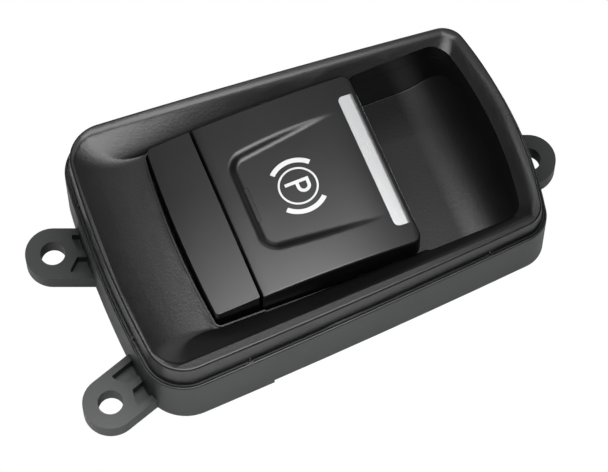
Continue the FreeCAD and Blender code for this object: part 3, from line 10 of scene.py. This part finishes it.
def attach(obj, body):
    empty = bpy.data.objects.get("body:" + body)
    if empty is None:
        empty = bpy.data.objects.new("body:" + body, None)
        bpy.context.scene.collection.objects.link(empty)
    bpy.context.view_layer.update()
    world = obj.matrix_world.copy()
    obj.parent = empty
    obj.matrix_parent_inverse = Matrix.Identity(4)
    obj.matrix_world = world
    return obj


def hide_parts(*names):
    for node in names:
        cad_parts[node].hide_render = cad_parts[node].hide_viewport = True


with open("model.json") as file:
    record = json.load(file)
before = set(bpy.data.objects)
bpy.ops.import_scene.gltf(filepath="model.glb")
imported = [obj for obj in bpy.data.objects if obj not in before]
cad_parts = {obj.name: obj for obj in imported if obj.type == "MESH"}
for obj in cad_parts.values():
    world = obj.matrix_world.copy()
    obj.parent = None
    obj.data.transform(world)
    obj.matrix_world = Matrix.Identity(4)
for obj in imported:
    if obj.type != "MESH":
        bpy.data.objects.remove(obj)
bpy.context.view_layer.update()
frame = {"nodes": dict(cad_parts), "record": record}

# Lengths are in mm and turned into metres by MM, unless a comment says otherwise.
MM = 0.001
# Height of the housing's rim, which the bezel stands on.
FLANGE = 32.0


# Camera: the photograph's viewing angle, found from the square button, the trim and the thumb well.

TARGET = Vector((-4.85, -8.5, FLANGE)) * MM
TOWARDS_CAMERA = Vector((-0.15535, -0.3845, 0.90996))
ACROSS_VIEW = Vector((0.92718, -0.37461, 0.0))
UP_VIEW = TOWARDS_CAMERA.cross(ACROSS_VIEW)
CAMERA_METRES = 0.750
CLIP_METRES = 0.01
SENSOR = 36.0
PHOTO_WIDTH_PIXELS = 608.0
FOCAL_PIXELS = 3300.0

camera = bpy.data.objects.new("camera", bpy.data.cameras.new("camera"))
camera.data.sensor_width = SENSOR
camera.data.lens = FOCAL_PIXELS * SENSOR / PHOTO_WIDTH_PIXELS
camera.data.clip_start = CLIP_METRES
turn = Matrix((ACROSS_VIEW, UP_VIEW, TOWARDS_CAMERA)).transposed().to_4x4()
camera.matrix_world = Matrix.Translation(TARGET + TOWARDS_CAMERA * CAMERA_METRES) @ turn
bpy.context.scene.collection.objects.link(camera)
bpy.context.scene.camera = camera
bpy.context.scene.view_settings.view_transform = "Standard"


# Materials.

# Size of the faint clouds in a moulding's colour and gloss, and of its pits against its grain.
CLOUDS = 14
PIT_RATIO = 2.2
GRAIN_STRENGTH = 0.35
# Bump of a metal's fine lines.
LINE_STRENGTH, LINE_DEPTH = 0.3, 0.003
# How far roughness strays from its middle value, and how far upwards on lined metal.
ROUGHNESS_SPREAD, LINED_SPREAD = 0.05, 0.08
# Sockets of a mix node's colours, which share their names with its other sockets.
MIX_DARK, MIX_LIGHT, MIX_RESULT = 6, 7, 2


def linear(code):
    """sRGB hex colour as linear red, green, blue and alpha."""
    parts = [int(code[i:i + 2], 16) / 255 for i in (1, 3, 5)]
    return tuple(c / 12.92 if c <= 0.04045 else ((c + 0.055) / 1.055) ** 2.4 for c in parts) + (1.0,)


def add(tree, kind, links=None, **settings):
    """A node with its settings; links give a socket its value or the socket that feeds it."""
    item = tree.nodes.new(kind)
    for key, setting in settings.items():
        setattr(item, key, setting)
    for socket, source in (links or {}).items():
        if isinstance(source, bpy.types.NodeSocket):
            tree.links.new(source, item.inputs[socket])
        else:
            item.inputs[socket].default_value = source
    return item


def material(name, colour, roughness, metallic=0.0):
    """A principled material; returns it with its tree, shader and object coordinates."""
    made = bpy.data.materials.new(name)
    made.use_nodes = True
    tree = made.node_tree
    tree.nodes.clear()
    shader = add(tree, "ShaderNodeBsdfPrincipled", {"Base Color": linear(colour), "Roughness": roughness,
                                                    "Metallic": metallic, "IOR": 1.5})
    add(tree, "ShaderNodeOutputMaterial", {"Surface": shader.outputs["BSDF"]})
    place = add(tree, "ShaderNodeTexCoord").outputs["Object"]
    return made, tree, shader, place


def surface(tree, shader, pattern, gloss_range, height, strength, depth):
    """Gloss that follows a pattern between two roughnesses, and a bump of a given depth."""
    gloss = add(tree, "ShaderNodeMapRange", {"Value": pattern, "To Min": gloss_range[0],
                                             "To Max": gloss_range[1]})
    tree.links.new(gloss.outputs["Result"], shader.inputs["Roughness"])
    bump = add(tree, "ShaderNodeBump", {"Height": height, "Strength": strength, "Distance": depth * MM})
    tree.links.new(bump.outputs["Normal"], shader.inputs["Normal"])


def grained(name, dark, light, roughness, grain, depth):
    """Moulded surface: spark-eroded grain in the bump, faint clouds in colour and gloss."""
    made, tree, shader, place = material(name, dark, roughness)
    clouds = add(tree, "ShaderNodeTexNoise", {"Vector": place, "Scale": 1 / (CLOUDS * MM), "Detail": 3.0,
                                              "Roughness": 0.55}).outputs["Fac"]
    colour = add(tree, "ShaderNodeMix", {"Factor": clouds, MIX_DARK: linear(dark), MIX_LIGHT: linear(light)},
                 data_type="RGBA")
    tree.links.new(colour.outputs[MIX_RESULT], shader.inputs["Base Color"])
    fine = add(tree, "ShaderNodeTexNoise", {"Vector": place, "Scale": 1 / (grain * MM), "Detail": 2.0})
    pits = add(tree, "ShaderNodeTexVoronoi", {"Vector": place, "Scale": 1 / (grain * PIT_RATIO * MM)})
    height = add(tree, "ShaderNodeMath", {0: fine.outputs["Fac"], 1: pits.outputs["Distance"]},
                 operation="ADD")
    gloss_range = (roughness - ROUGHNESS_SPREAD, roughness + ROUGHNESS_SPREAD)
    surface(tree, shader, clouds, gloss_range, height.outputs["Value"], GRAIN_STRENGTH, depth)
    return made


def brushed(name, code, roughness, line, along=(0.04, 1.0, 1.0)):
    """Metal with fine lines along one direction."""
    made, tree, shader, place = material(name, code, roughness, metallic=1.0)
    stretch = add(tree, "ShaderNodeMapping", {"Vector": place, "Scale": along})
    lines = add(tree, "ShaderNodeTexNoise", {"Vector": stretch.outputs["Vector"], "Scale": 1 / (line * MM),
                                             "Detail": 3.0}).outputs["Fac"]
    gloss_range = (roughness - ROUGHNESS_SPREAD, roughness + LINED_SPREAD)
    surface(tree, shader, lines, gloss_range, lines, LINE_STRENGTH, LINE_DEPTH)
    return made


# ABS with a fine eroded grain, left satin: soft broad highlights, near-black hollows.
bezel_abs = grained("moulded satin ABS", "#060706", "#0a0b0a", 0.38, 0.32, 0.042)
# The same ABS under a soft-touch lacquer: finer, with a clean fall of grey over the arch.
button_abs = grained("soft lacquered ABS", "#070708", "#0b0b0c", 0.33, 0.22, 0.012)
# Glass-filled nylon with an eroded finish: greyer and flatter than the bezel, faintly blue.
housing_nylon = grained("glass filled nylon", "#101314", "#15191a", 0.46, 0.35, 0.03)
# Glass-filled nylon of the connector and frame: paler and matt, no clear highlight.
frame_nylon = grained("matt filled nylon", "#1b1c1e", "#222326", 0.6, 0.4, 0.03)
# Natural acetal of the working parts: waxy off-white.
acetal = grained("natural acetal", "#d9d7cd", "#e6e4da", 0.38, 0.5, 0.01)
# Rubber of the stops: dead matt charcoal.
bumper_rubber = grained("moulded rubber", "#1a1a1a", "#232322", 0.75, 0.3, 0.03)
# Circuit board: glossy bottle green.
board_laminate = grained("solder mask on glass laminate", "#0d4526", "#125230", 0.28, 0.6, 0.01)
# Chip packages: dry dark grey.
chip_resin = grained("moulded epoxy", "#161616", "#1d1d1e", 0.55, 0.25, 0.02)
# Lamp body: glossy cream.
lamp_resin = grained("clear cast resin", "#e8e6d0", "#f1efdc", 0.2, 0.5, 0.005)
# Capacitors: dull tan.
ceramic = grained("sintered ceramic", "#8a6d47", "#987a52", 0.5, 0.3, 0.01)
# Light guide: pale and polished, with sharp glints.
clear_acrylic = grained("clear acrylic", "#e9eef0", "#f2f6f7", 0.08, 1.0, 0.002)
# Indicator window: as black as the cap while it is off, a little glossier.
smoked_lens = grained("smoked polycarbonate", "#060607", "#08080a", 0.30, 0.5, 0.004)
# Sign: even light grey that reads as white on black.
white_ink = grained("pad printed white ink", "#bcbcbd", "#c6c6c7", 0.45, 0.15, 0.005)
# Satin chromium plating on the trim: bright, with the light's shape blurred along it.
satin_chrome = brushed("satin chrome plating", "#f1f2f3", 0.24, 0.25, along=(1.0, 0.04, 1.0))
# Pin, clips and springs: mid grey with a drawn line.
drawn_steel = brushed("drawn spring steel", "#a5a6a8", 0.3, 0.2)
# Screws: cool pale grey.
zinc_plate = brushed("zinc plated steel", "#b9bcc0", 0.32, 0.3)
# Magnets: warm grey, brighter than the steel.
nickel = brushed("nickel plating", "#b5b1a8", 0.25, 0.3)
# Connector contacts: pale with a yellow tinge.
tin_plate = brushed("tinned brass", "#c9c6ba", 0.3, 0.2)

finishes = {
    "housing": housing_nylon, "rear_cover": housing_nylon, "bezel": bezel_abs, "finger_well": bezel_abs,
    "cover_strip": button_abs, "paddle_cap": button_abs, "paddle_trim": satin_chrome,
    "indicator_lens": smoked_lens, "paddle_carrier": acetal, "pull_plunger": acetal,
    "push_plunger": acetal, "pivot_pin": drawn_steel, "pin_clips": drawn_steel,
    "pull_spring": drawn_steel, "push_spring": drawn_steel, "mechanism_frame": frame_nylon,
    "connector_header": frame_nylon, "stop_bumpers": bumper_rubber, "pull_magnet": nickel,
    "push_magnet": nickel, "light_guide": clear_acrylic, "circuit_board": board_laminate,
    "controller_chip": chip_resin, "position_sensors": chip_resin, "indicator_light": lamp_resin,
    "board_capacitors": ceramic, "connector_contacts": tin_plate, "cover_screws": zinc_plate,
    "board_screws": zinc_plate, "frame_screws": zinc_plate,
}
for name, item in frame["nodes"].items():
    item.data.materials.clear()
    item.data.materials.append(finishes[name])


# Dressed copies of the visible CAD pieces: welded, smooth where they curve, with their edges broken.

# Points closer than these are one: at first, and between narrow faces.
WELD, SLIVER = 0.002, 0.001
# Faces that turn less than this are one face.
ONE_FACE = math.radians(0.25)
ROLL_SEGMENTS = 3
# How far a large face's normal outweighs a small one's; 50 is neutral.
FLAT_WEIGHT = 80


def body_holding(name):
    """The body that a CAD piece belongs to."""
    for body, members in frame["record"]["behaviour"]["bodies"].items():
        if name in members:
            return body
    raise ValueError(name)


def placed(name, mesh, finish):
    """A new object of the scene, made of one material."""
    item = bpy.data.objects.new(name, mesh)
    bpy.context.scene.collection.objects.link(item)
    mesh.materials.clear()
    mesh.materials.append(finish)
    return item


def apply_modifiers(piece):
    finished = bpy.data.meshes.new_from_object(piece.evaluated_get(bpy.context.evaluated_depsgraph_get()))
    piece.modifiers.clear()
    piece.data = finished


def merge_slivers(mesh):
    """Close the strips of no width that a bevel leaves where its room runs out."""
    work = bmesh.new()
    work.from_mesh(mesh)
    bmesh.ops.remove_doubles(work, verts=work.verts, dist=SLIVER * MM)
    work.to_mesh(mesh)
    work.free()


def dress(name, edge_width, angle=28.0, shaping=None, kept=None):
    """Copy of a CAD piece with smooth curves and broken edges.

    Edges sharper than angle, in degrees, are broken and shaded as edges. shaping may work on the
    welded mesh first; kept names edges that stay unbroken.
    """
    mesh = frame["nodes"][name].data.copy()
    work = bmesh.new()
    work.from_mesh(mesh)
    bmesh.ops.remove_doubles(work, verts=work.verts, dist=WELD * MM)
    bmesh.ops.dissolve_degenerate(work, edges=work.edges, dist=SLIVER * MM)
    bmesh.ops.dissolve_limit(work, angle_limit=ONE_FACE, verts=work.verts, edges=work.edges)
    if shaping:
        shaping(work)
    weights = work.edges.layers.float.new("bevel_weight_edge")
    for edge in work.edges:
        breaks = len(edge.link_faces) == 2 and edge.calc_face_angle() > math.radians(angle)
        edge[weights] = 1.0 if breaks and not (kept and kept(edge)) else 0.0
    work.to_mesh(mesh)
    work.free()
    piece = placed(name + "_dressed", mesh, finishes[name])
    for face in mesh.polygons:
        face.use_smooth = True
    if edge_width:
        bevel = piece.modifiers.new("edges", "BEVEL")
        bevel.width = edge_width * MM
        bevel.segments = ROLL_SEGMENTS
        bevel.limit_method = "WEIGHT"
        bevel.use_clamp_overlap = True
        bevel.miter_outer = "MITER_ARC"
        apply_modifiers(piece)
        merge_slivers(piece.data)
    piece.data.set_sharp_from_angle(angle=math.radians(angle))
    weigh = piece.modifiers.new("flat faces lead", "WEIGHTED_NORMAL")
    weigh.keep_sharp = True
    weigh.weight = FLAT_WEIGHT
    apply_modifiers(piece)
    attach(piece, body_holding(name))
    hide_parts(name)
    return piece


# Thumb well's sloping floor: a point on it and its rise along X.

FLOOR_LEFT = (-14.4, 39.189)
FLOOR_SLOPE = 0.04667


def floor_height(x):
    return FLOOR_LEFT[1] + FLOOR_SLOPE * (x - FLOOR_LEFT[0])


# Parking-brake sign printed on that floor. Its letter is read with +X up.

SIGN_CENTRE = (-2.7, 0.3)
INK = 0.03
RING_INNER, RING_OUTER = 4.2, 4.65
BRACKET_INNER, BRACKET_OUTER, BRACKET_DEGREES = 5.85, 7.0, 90
BRACKET_STARTS = (-45, 135)
RING_STEPS, BRACKET_STEPS, BOWL_STEPS = 72, 24, 20
STROKE, STEM, FOOT, HEAD, WAIST, BOWL_START = 0.78, -1.45, -2.85, 2.85, -0.45, 0.35
SAME_POINT = 1e-6


def on_floor(right, up, rise):
    """A point of the sign, this far right and up of its centre and above the floor."""
    x = SIGN_CENTRE[0] + up
    y = SIGN_CENTRE[1] - right
    return Vector((x, y, floor_height(x) + rise)) * MM


def band(work, inner, outer):
    """Closed solid of ink between two rows of points."""
    rows = [[work.verts.new(on_floor(*spot, rise)) for spot in row]
            for rise in (INK, -INK) for row in (inner, outer)]
    top_in, top_out, low_in, low_out = rows
    ring = (Vector(inner[0]) - Vector(inner[-1])).length < SAME_POINT
    count = len(inner)
    for i in range(count - 1):
        j = i + 1
        work.faces.new((top_in[i], top_out[i], top_out[j], top_in[j]))
        work.faces.new((low_in[i], low_in[j], low_out[j], low_out[i]))
        work.faces.new((top_out[i], low_out[i], low_out[j], top_out[j]))
        work.faces.new((top_in[i], top_in[j], low_in[j], low_in[i]))
    if not ring:
        for i in (0, count - 1):
            work.faces.new((top_in[i], low_in[i], low_out[i], top_out[i]))


def arc(centre, radius, first, last, steps):
    """Points round a centre between two angles in degrees."""
    angles = [math.radians(first + (last - first) * i / steps) for i in range(steps + 1)]
    return [(centre[0] + radius * math.cos(angle), centre[1] + radius * math.sin(angle)) for angle in angles]


sign_mesh = bpy.data.meshes.new("parking_sign")
work = bmesh.new()
band(work, arc((0, 0), RING_INNER, 0, 360, RING_STEPS), arc((0, 0), RING_OUTER, 0, 360, RING_STEPS))
for start in BRACKET_STARTS:
    sweep = (start, start + BRACKET_DEGREES, BRACKET_STEPS)
    band(work, arc((0, 0), BRACKET_INNER, *sweep), arc((0, 0), BRACKET_OUTER, *sweep))
bowl = (HEAD - WAIST) / 2
band(work, [(STEM, FOOT), (STEM, HEAD)], [(STEM + STROKE, FOOT), (STEM + STROKE, HEAD)])
for low, high in ((HEAD - STROKE, HEAD), (WAIST, WAIST + STROKE)):
    band(work, [(STEM + STROKE, low), (BOWL_START, low)], [(STEM + STROKE, high), (BOWL_START, high)])
middle = (BOWL_START, WAIST + bowl)
band(work, arc(middle, bowl - STROKE, 90, -90, BOWL_STEPS), arc(middle, bowl, 90, -90, BOWL_STEPS))
bmesh.ops.remove_doubles(work, verts=work.verts, dist=SLIVER * MM)
bmesh.ops.recalc_face_normals(work, faces=work.faces)
work.to_mesh(sign_mesh)
work.free()
sign = placed("parking_sign", sign_mesh, white_ink)
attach(sign, "paddle")


# Thumb well with soft rolls at its lip and foot, worked on a fine grid over the cap's own surface.

# The cap's arched top: height and X of its highest line, and the radius of its bow.
ARCH_TOP, ARCH_CENTRE, ARCH_BOW = FLANGE + 8.75, -3.0, 180.0
# The well widens from its left end to WELL_WIDEST; its walls rise by WALL_RISE per mm.
WELL_WIDEST, WELL_HALF_LEFT, WELL_HALF_RIGHT = 11.6, 11.0, 14.3
WALL_RISE, WELL_CORNER, ROLL = 0.80, 2.4, 0.5
# Part of the top that is worked on, just outside the first and last cuts of the grid.
GRID_LEFT, GRID_RIGHT, GRID_HALF = -17.9, 12.7, 16.8
GRID, CUTS_X, CUTS_Y = 0.4, (-17.8, 12.6), (-16.6, 16.6)
ON_CUT_METRES = 1e-7
# The top's faces lie above the first height; its points are shaded above the second, moved above the third.
CAP_TOP_ABOVE, SHADED_ABOVE, MOVED_ABOVE = 37.2, 38.5, 38.9
# The cap's plan outline and its own rolled edge.
CAP_LEFT, CAP_RIGHT, CAP_HALF = -20.35, 18.4, 22.5
CAP_CORNER, CAP_EDGE = 2.0, 0.5
# Slack inwards and downwards for the points of that edge, and how little its faces may look up.
EDGE_SLACK_IN, EDGE_SLACK_DOWN, EDGE_LOOKS_UP = 0.02, 0.05, 0.05
# Cosine of the most that a face of the top leans, from upright or from the true normal.
TOP_LOOKS_UP = 0.5
SLOPE_STEP = 0.05
ON_SURFACE = 0.03


def arch_height(x):
    return ARCH_TOP - (x - ARCH_CENTRE) ** 2 / (2 * ARCH_BOW)


def well_height(x, y):
    """Thumb well's surface: sloping floor, walls round a rounded corner, soft foot."""
    length = WELL_WIDEST - FLOOR_LEFT[0]
    half = WELL_HALF_LEFT + (WELL_HALF_RIGHT - WELL_HALF_LEFT) * (x - FLOOR_LEFT[0]) / length
    across = FLOOR_LEFT[0] + WELL_CORNER - x
    aside = abs(y) - half + WELL_CORNER
    outside = math.hypot(max(across, 0), max(aside, 0)) + min(max(across, aside), 0) - WELL_CORNER
    wall = outside * WALL_RISE
    return floor_height(x) + max(wall, 0) + max(ROLL - abs(wall), 0) ** 2 / (4 * ROLL)


def in_grid(x, y):
    return abs(y) < GRID_HALF and GRID_LEFT < x < GRID_RIGHT


def top_height(x, y):
    """The cap's top: the arch, or the thumb well with a soft lip where it is lower."""
    arch_z = arch_height(x)
    if not in_grid(x, y):
        return arch_z
    well_z = well_height(x, y)
    return min(arch_z, well_z) - max(ROLL - abs(arch_z - well_z), 0) ** 2 / (4 * ROLL)


def top_faces(work):
    return [face for face in work.faces
            if face.normal.z > TOP_LOOKS_UP and face.calc_center_median().z > CAP_TOP_ABOVE * MM]


def roll_thumb_well(work):
    """Cut the cap's top into a fine grid and lower it into the rolled thumb well."""
    for axis, (low, high) in enumerate((CUTS_X, CUTS_Y)):
        normal = (1, 0, 0) if axis == 0 else (0, 1, 0)
        for step in range(int((high - low) / GRID) + 1):
            faces = top_faces(work)
            geometry = faces + list({edge for face in faces for edge in face.edges})
            geometry += list({vert for face in faces for vert in face.verts})
            spot = [0.0, 0.0, 0.0]
            spot[axis] = (low + step * GRID) * MM
            bmesh.ops.bisect_plane(work, geom=geometry, dist=ON_CUT_METRES, plane_co=spot,
                                   plane_no=normal)
    for vert in {vert for face in top_faces(work) for vert in face.verts}:
        x, y, z = vert.co / MM
        if z > MOVED_ABOVE and in_grid(x, y):
            vert.co.z = top_height(x, y) * MM


def cap_edge(x, y):
    """Depth inside the cap's plan outline, and the way out."""
    side_y = 1 if y > 0 else -1
    if x > CAP_RIGHT - CAP_CORNER and abs(y) > CAP_HALF - CAP_CORNER:
        to_corner = Vector((x - CAP_RIGHT + CAP_CORNER, (abs(y) - CAP_HALF + CAP_CORNER) * side_y))
        return CAP_CORNER - to_corner.length, to_corner.normalized()
    return min((CAP_HALF - abs(y), Vector((0, side_y))), (CAP_RIGHT - x, Vector((1, 0))),
               (x - CAP_LEFT, Vector((-1, 0))), key=lambda pair: pair[0])


def top_normal(x, y):
    slope_x = (top_height(x + SLOPE_STEP, y) - top_height(x - SLOPE_STEP, y)) / (2 * SLOPE_STEP)
    slope_y = (top_height(x, y + SLOPE_STEP) - top_height(x, y - SLOPE_STEP)) / (2 * SLOPE_STEP)
    return Vector((-slope_x, -slope_y, 1.0)).normalized()


def shade_cap_top(mesh):
    """True surface normals on the cap's top and rolled edge, so that light runs over them without facets."""
    normals = [Vector(corner.vector) for corner in mesh.corner_normals]
    for face in mesh.polygons:
        for loop in face.loop_indices:
            x, y, z = mesh.vertices[mesh.loops[loop].vertex_index].co / MM
            up = top_normal(x, y)
            depth, way_out = cap_edge(x, y)
            edge_foot = arch_height(x) - CAP_EDGE - EDGE_SLACK_DOWN
            near_edge = depth < CAP_EDGE + EDGE_SLACK_IN and z > edge_foot
            on_top = z > SHADED_ABOVE and abs(z - top_height(x, y)) < ON_SURFACE
            if near_edge and face.normal.z > EDGE_LOOKS_UP:
                share = min(max((CAP_EDGE - depth) / CAP_EDGE, 0.0), 1.0)
                out = Vector((way_out.x, way_out.y, 0.0))
                normals[loop] = (up * math.sqrt(1 - share * share) + out * share).normalized()
            elif on_top and face.normal.dot(up) > TOP_LOOKS_UP:
                normals[loop] = up
    mesh.normals_split_custom_set(normals)


# Bezel's land: the narrow crest between its outer wall and the slope down to the dish.

CREST = FLANGE + 6.0
CREST_FALL = math.tan(math.radians(1.26))
ON_CREST = 0.02
# The land's own upward normal is above this, its neighbours' are below it.
LAND_FLATNESS = 0.998
# Faces that look up less than this are the outer wall's.
SLOPE_LOOKS_UP = 0.3
# A sum of plan normals shorter than this points nowhere.
NOWHERE = 0.001
LAND_TILT_IN, LAND_TILT_OUT = math.radians(35), math.radians(8)


def on_crest(x, z):
    return abs(z - (CREST - x * CREST_FALL)) < ON_CREST


def land_inner_edge(edge):
    """True for the edge between the flat land and the slope down to the dish."""
    middle = (edge.verts[0].co + edge.verts[1].co) / 2
    if not on_crest(middle.x / MM, middle.z / MM):
        return False
    return any(face.normal.z < LAND_FLATNESS and face.normal.xy.dot(middle.xy) < 0
               for face in edge.link_faces)


def roll_land(mesh):
    """Turn the normals of the bezel's land towards the dish, so that it rolls softly into the slope."""
    normals = [Vector(corner.vector) for corner in mesh.corner_normals]
    around = {}
    for face in mesh.polygons:
        for loop in face.loop_indices:
            index = mesh.loops[loop].vertex_index
            x, y, z = mesh.vertices[index].co / MM
            if face.normal.z > SLOPE_LOOKS_UP and on_crest(x, z):
                around.setdefault(index, []).append((face, loop))
    for index, corners in around.items():
        slopes = [face.normal.xy for face, loop in corners if face.normal.z < LAND_FLATNESS]
        side = sum(slopes, Vector((0, 0)))
        if side.length < NOWHERE:
            continue
        side.normalize()
        inner = side.dot(mesh.vertices[index].co.xy) < 0
        tilt = LAND_TILT_IN if inner else LAND_TILT_OUT
        inward = side if inner else -side
        rolled = Vector((inward.x * math.sin(tilt), inward.y * math.sin(tilt), math.cos(tilt)))
        for face, loop in corners:
            if inner or face.normal.z > LAND_FLATNESS:
                normals[loop] = rolled
    mesh.normals_split_custom_set(normals)


roll_land(dress("bezel", 0.12, kept=land_inner_edge).data)
for name, edge_width in (("finger_well", 0.3), ("housing", 0.15), ("cover_strip", 0.35),
                         ("rear_cover", 0.2), ("connector_header", 0.1)):
    dress(name, edge_width)
dress("paddle_trim", 0.0, 45.0)
shade_cap_top(dress("paddle_cap", 0.0, 24.0, roll_thumb_well).data)


# Small locating ribs at the foot of the bezel's wall, one over each notch in its flange.

# A ray from each start along its heading meets the wall where the rib stands.
RIB_RAYS = (((-60, 17.57), (1, 0)), ((-60, -17.57), (1, 0)), ((-27.53, 40), (0, -1)),
            ((-27.53, -40), (0, 1)), ((32.53, 40), (0, -1)), ((32.53, -40), (0, 1)))
RAY_RISE = 0.6
# Corners as reach out of the wall, distance aside and height over the flange.
RIB_PLAN = ((-0.20, 0.30), (-0.20, -0.30), (0.40, 0.22), (0.40, -0.22))
RIB_FOOT = [(reach, side, height) for reach, side in RIB_PLAN for height in (-0.45, 0.35)]
RIB_HEAD = [(-0.25, 0.16, 1.6), (-0.25, -0.16, 1.6), (-0.02, 0.12, 1.45), (-0.02, -0.12, 1.45)]
RIB_EDGE = 0.05

rib_mesh = bpy.data.meshes.new("locating_ribs")
work = bmesh.new()
bezel_solid = frame["nodes"]["bezel"].data
wall = BVHTree.FromPolygons([vert.co for vert in bezel_solid.vertices],
                            [tuple(face.vertices) for face in bezel_solid.polygons])
for start, heading in RIB_RAYS:
    origin = Vector((*start, FLANGE + RAY_RISE)) * MM
    spot, facing = wall.ray_cast(origin, Vector((*heading, 0)))[:2]
    out = Vector((facing.x, facing.y, 0)).normalized()
    along = Vector((-out.y, out.x, 0))
    foot = Vector((spot.x, spot.y, FLANGE * MM))
    made = [work.verts.new(foot + (out * reach + along * side + Vector((0, 0, height))) * MM)
            for reach, side, height in RIB_FOOT + RIB_HEAD]
    bmesh.ops.convex_hull(work, input=made)
bmesh.ops.bevel(work, geom=work.edges[:], offset=RIB_EDGE * MM, segments=2, profile=0.5, affect="EDGES",
                clamp_overlap=True)
bmesh.ops.recalc_face_normals(work, faces=work.faces)
for face in work.faces:
    face.smooth = True
work.to_mesh(rib_mesh)
work.free()
ribs = placed("locating_ribs", rib_mesh, bezel_abs)
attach(ribs, body_holding("bezel"))


# White paper under the part. The camera sees it pure white; the part sees it as lit grey paper.

PAPER_HALF_METRES = 3

paper = bpy.data.materials.new("white paper")
paper.use_nodes = True
tree = paper.node_tree
tree.nodes.clear()
diffuse = add(tree, "ShaderNodeBsdfDiffuse", {"Color": linear("#b4b4b4"), "Roughness": 0.8})
glow = add(tree, "ShaderNodeEmission", {"Color": (1, 1, 1, 1), "Strength": 1.0})
path = add(tree, "ShaderNodeLightPath")
seen = add(tree, "ShaderNodeMixShader", {0: path.outputs["Is Camera Ray"], 1: diffuse.outputs["BSDF"],
                                         2: glow.outputs["Emission"]})
add(tree, "ShaderNodeOutputMaterial", {"Surface": seen.outputs["Shader"]})

floor_mesh = bpy.data.meshes.new("floor")
corner_signs = ((-1, -1), (1, -1), (1, 1), (-1, 1))
floor_corners = [(x * PAPER_HALF_METRES, y * PAPER_HALF_METRES, 0) for x, y in corner_signs]
floor_mesh.from_pydata(floor_corners, [], [(0, 1, 2, 3)])
floor = placed("floor", floor_mesh, paper)


# Light, in metres and watts.

# Even glow from all sides, so that nothing is quite black.
world = bpy.data.worlds.new("studio")
bpy.context.scene.world = world
world.use_nodes = True
world.node_tree.nodes.clear()
air = add(world.node_tree, "ShaderNodeBackground", {"Color": (1, 1, 1, 1), "Strength": 0.07})
add(world.node_tree, "ShaderNodeOutputWorld", {"Surface": air.outputs["Background"]})


def softbox(name, spot, aim, width, height, watts, spread=180):
    """Rectangular lamp at spot, turned to aim; spread is its beam in degrees."""
    lamp = bpy.data.lights.new(name, "AREA")
    lamp.shape = "RECTANGLE"
    lamp.size = width
    lamp.size_y = height
    lamp.energy = watts
    lamp.spread = math.radians(spread)
    item = bpy.data.objects.new(name, lamp)
    item.location = spot
    item.rotation_euler = (Vector(aim) - Vector(spot)).to_track_quat("-Z", "Y").to_euler()
    bpy.context.scene.collection.objects.link(item)


# Close over the part: the greys of the dish and the land, and the cap's fade from near to far.
softbox("key", (-0.016, -0.0165, 0.155), (-0.016, -0.0165, 0.0), 0.108, 0.083, 0.26)
# Narrow beams on the paper beside the part, which the upright walls then mirror as mid grey.
softbox("front floor", (-0.02, -0.085, 0.13), (-0.02, -0.085, 0.0), 0.20, 0.04, 0.13, 70)
softbox("back floor", (0.0, 0.105, 0.13), (0.0, 0.105, 0.0), 0.22, 0.05, 0.20, 70)
softbox("left floor", (-0.125, 0.0, 0.13), (-0.125, 0.0, 0.0), 0.05, 0.16, 0.12, 70)
softbox("right floor", (0.135, 0.0, 0.13), (0.135, 0.0, 0.0), 0.05, 0.16, 0.14, 70)
# High behind: fills the trim with white and lays an even grey on the cap.
softbox("sky", (0.09, 0.22, 0.50), (0.0, 0.02, 0.03), 0.40, 0.34, 0.27)
# Weak fill from the front.
softbox("near", (-0.25, -0.52, 0.20), (0.0, 0.0, 0.02), 0.30, 0.20, 0.07)
# Soft streaks in the dish's near left corner and on the thumb well's left and near walls.
softbox("right back", (0.24, 0.38, 0.25), (-0.03, -0.02, 0.03), 0.26, 0.18, 0.20)
# Thin glints on the cap's right edge and the thumb well's left wall.
softbox("right", (0.53, 0.27, 0.06), (0.0, 0.0, 0.03), 0.20, 0.12, 0.10)
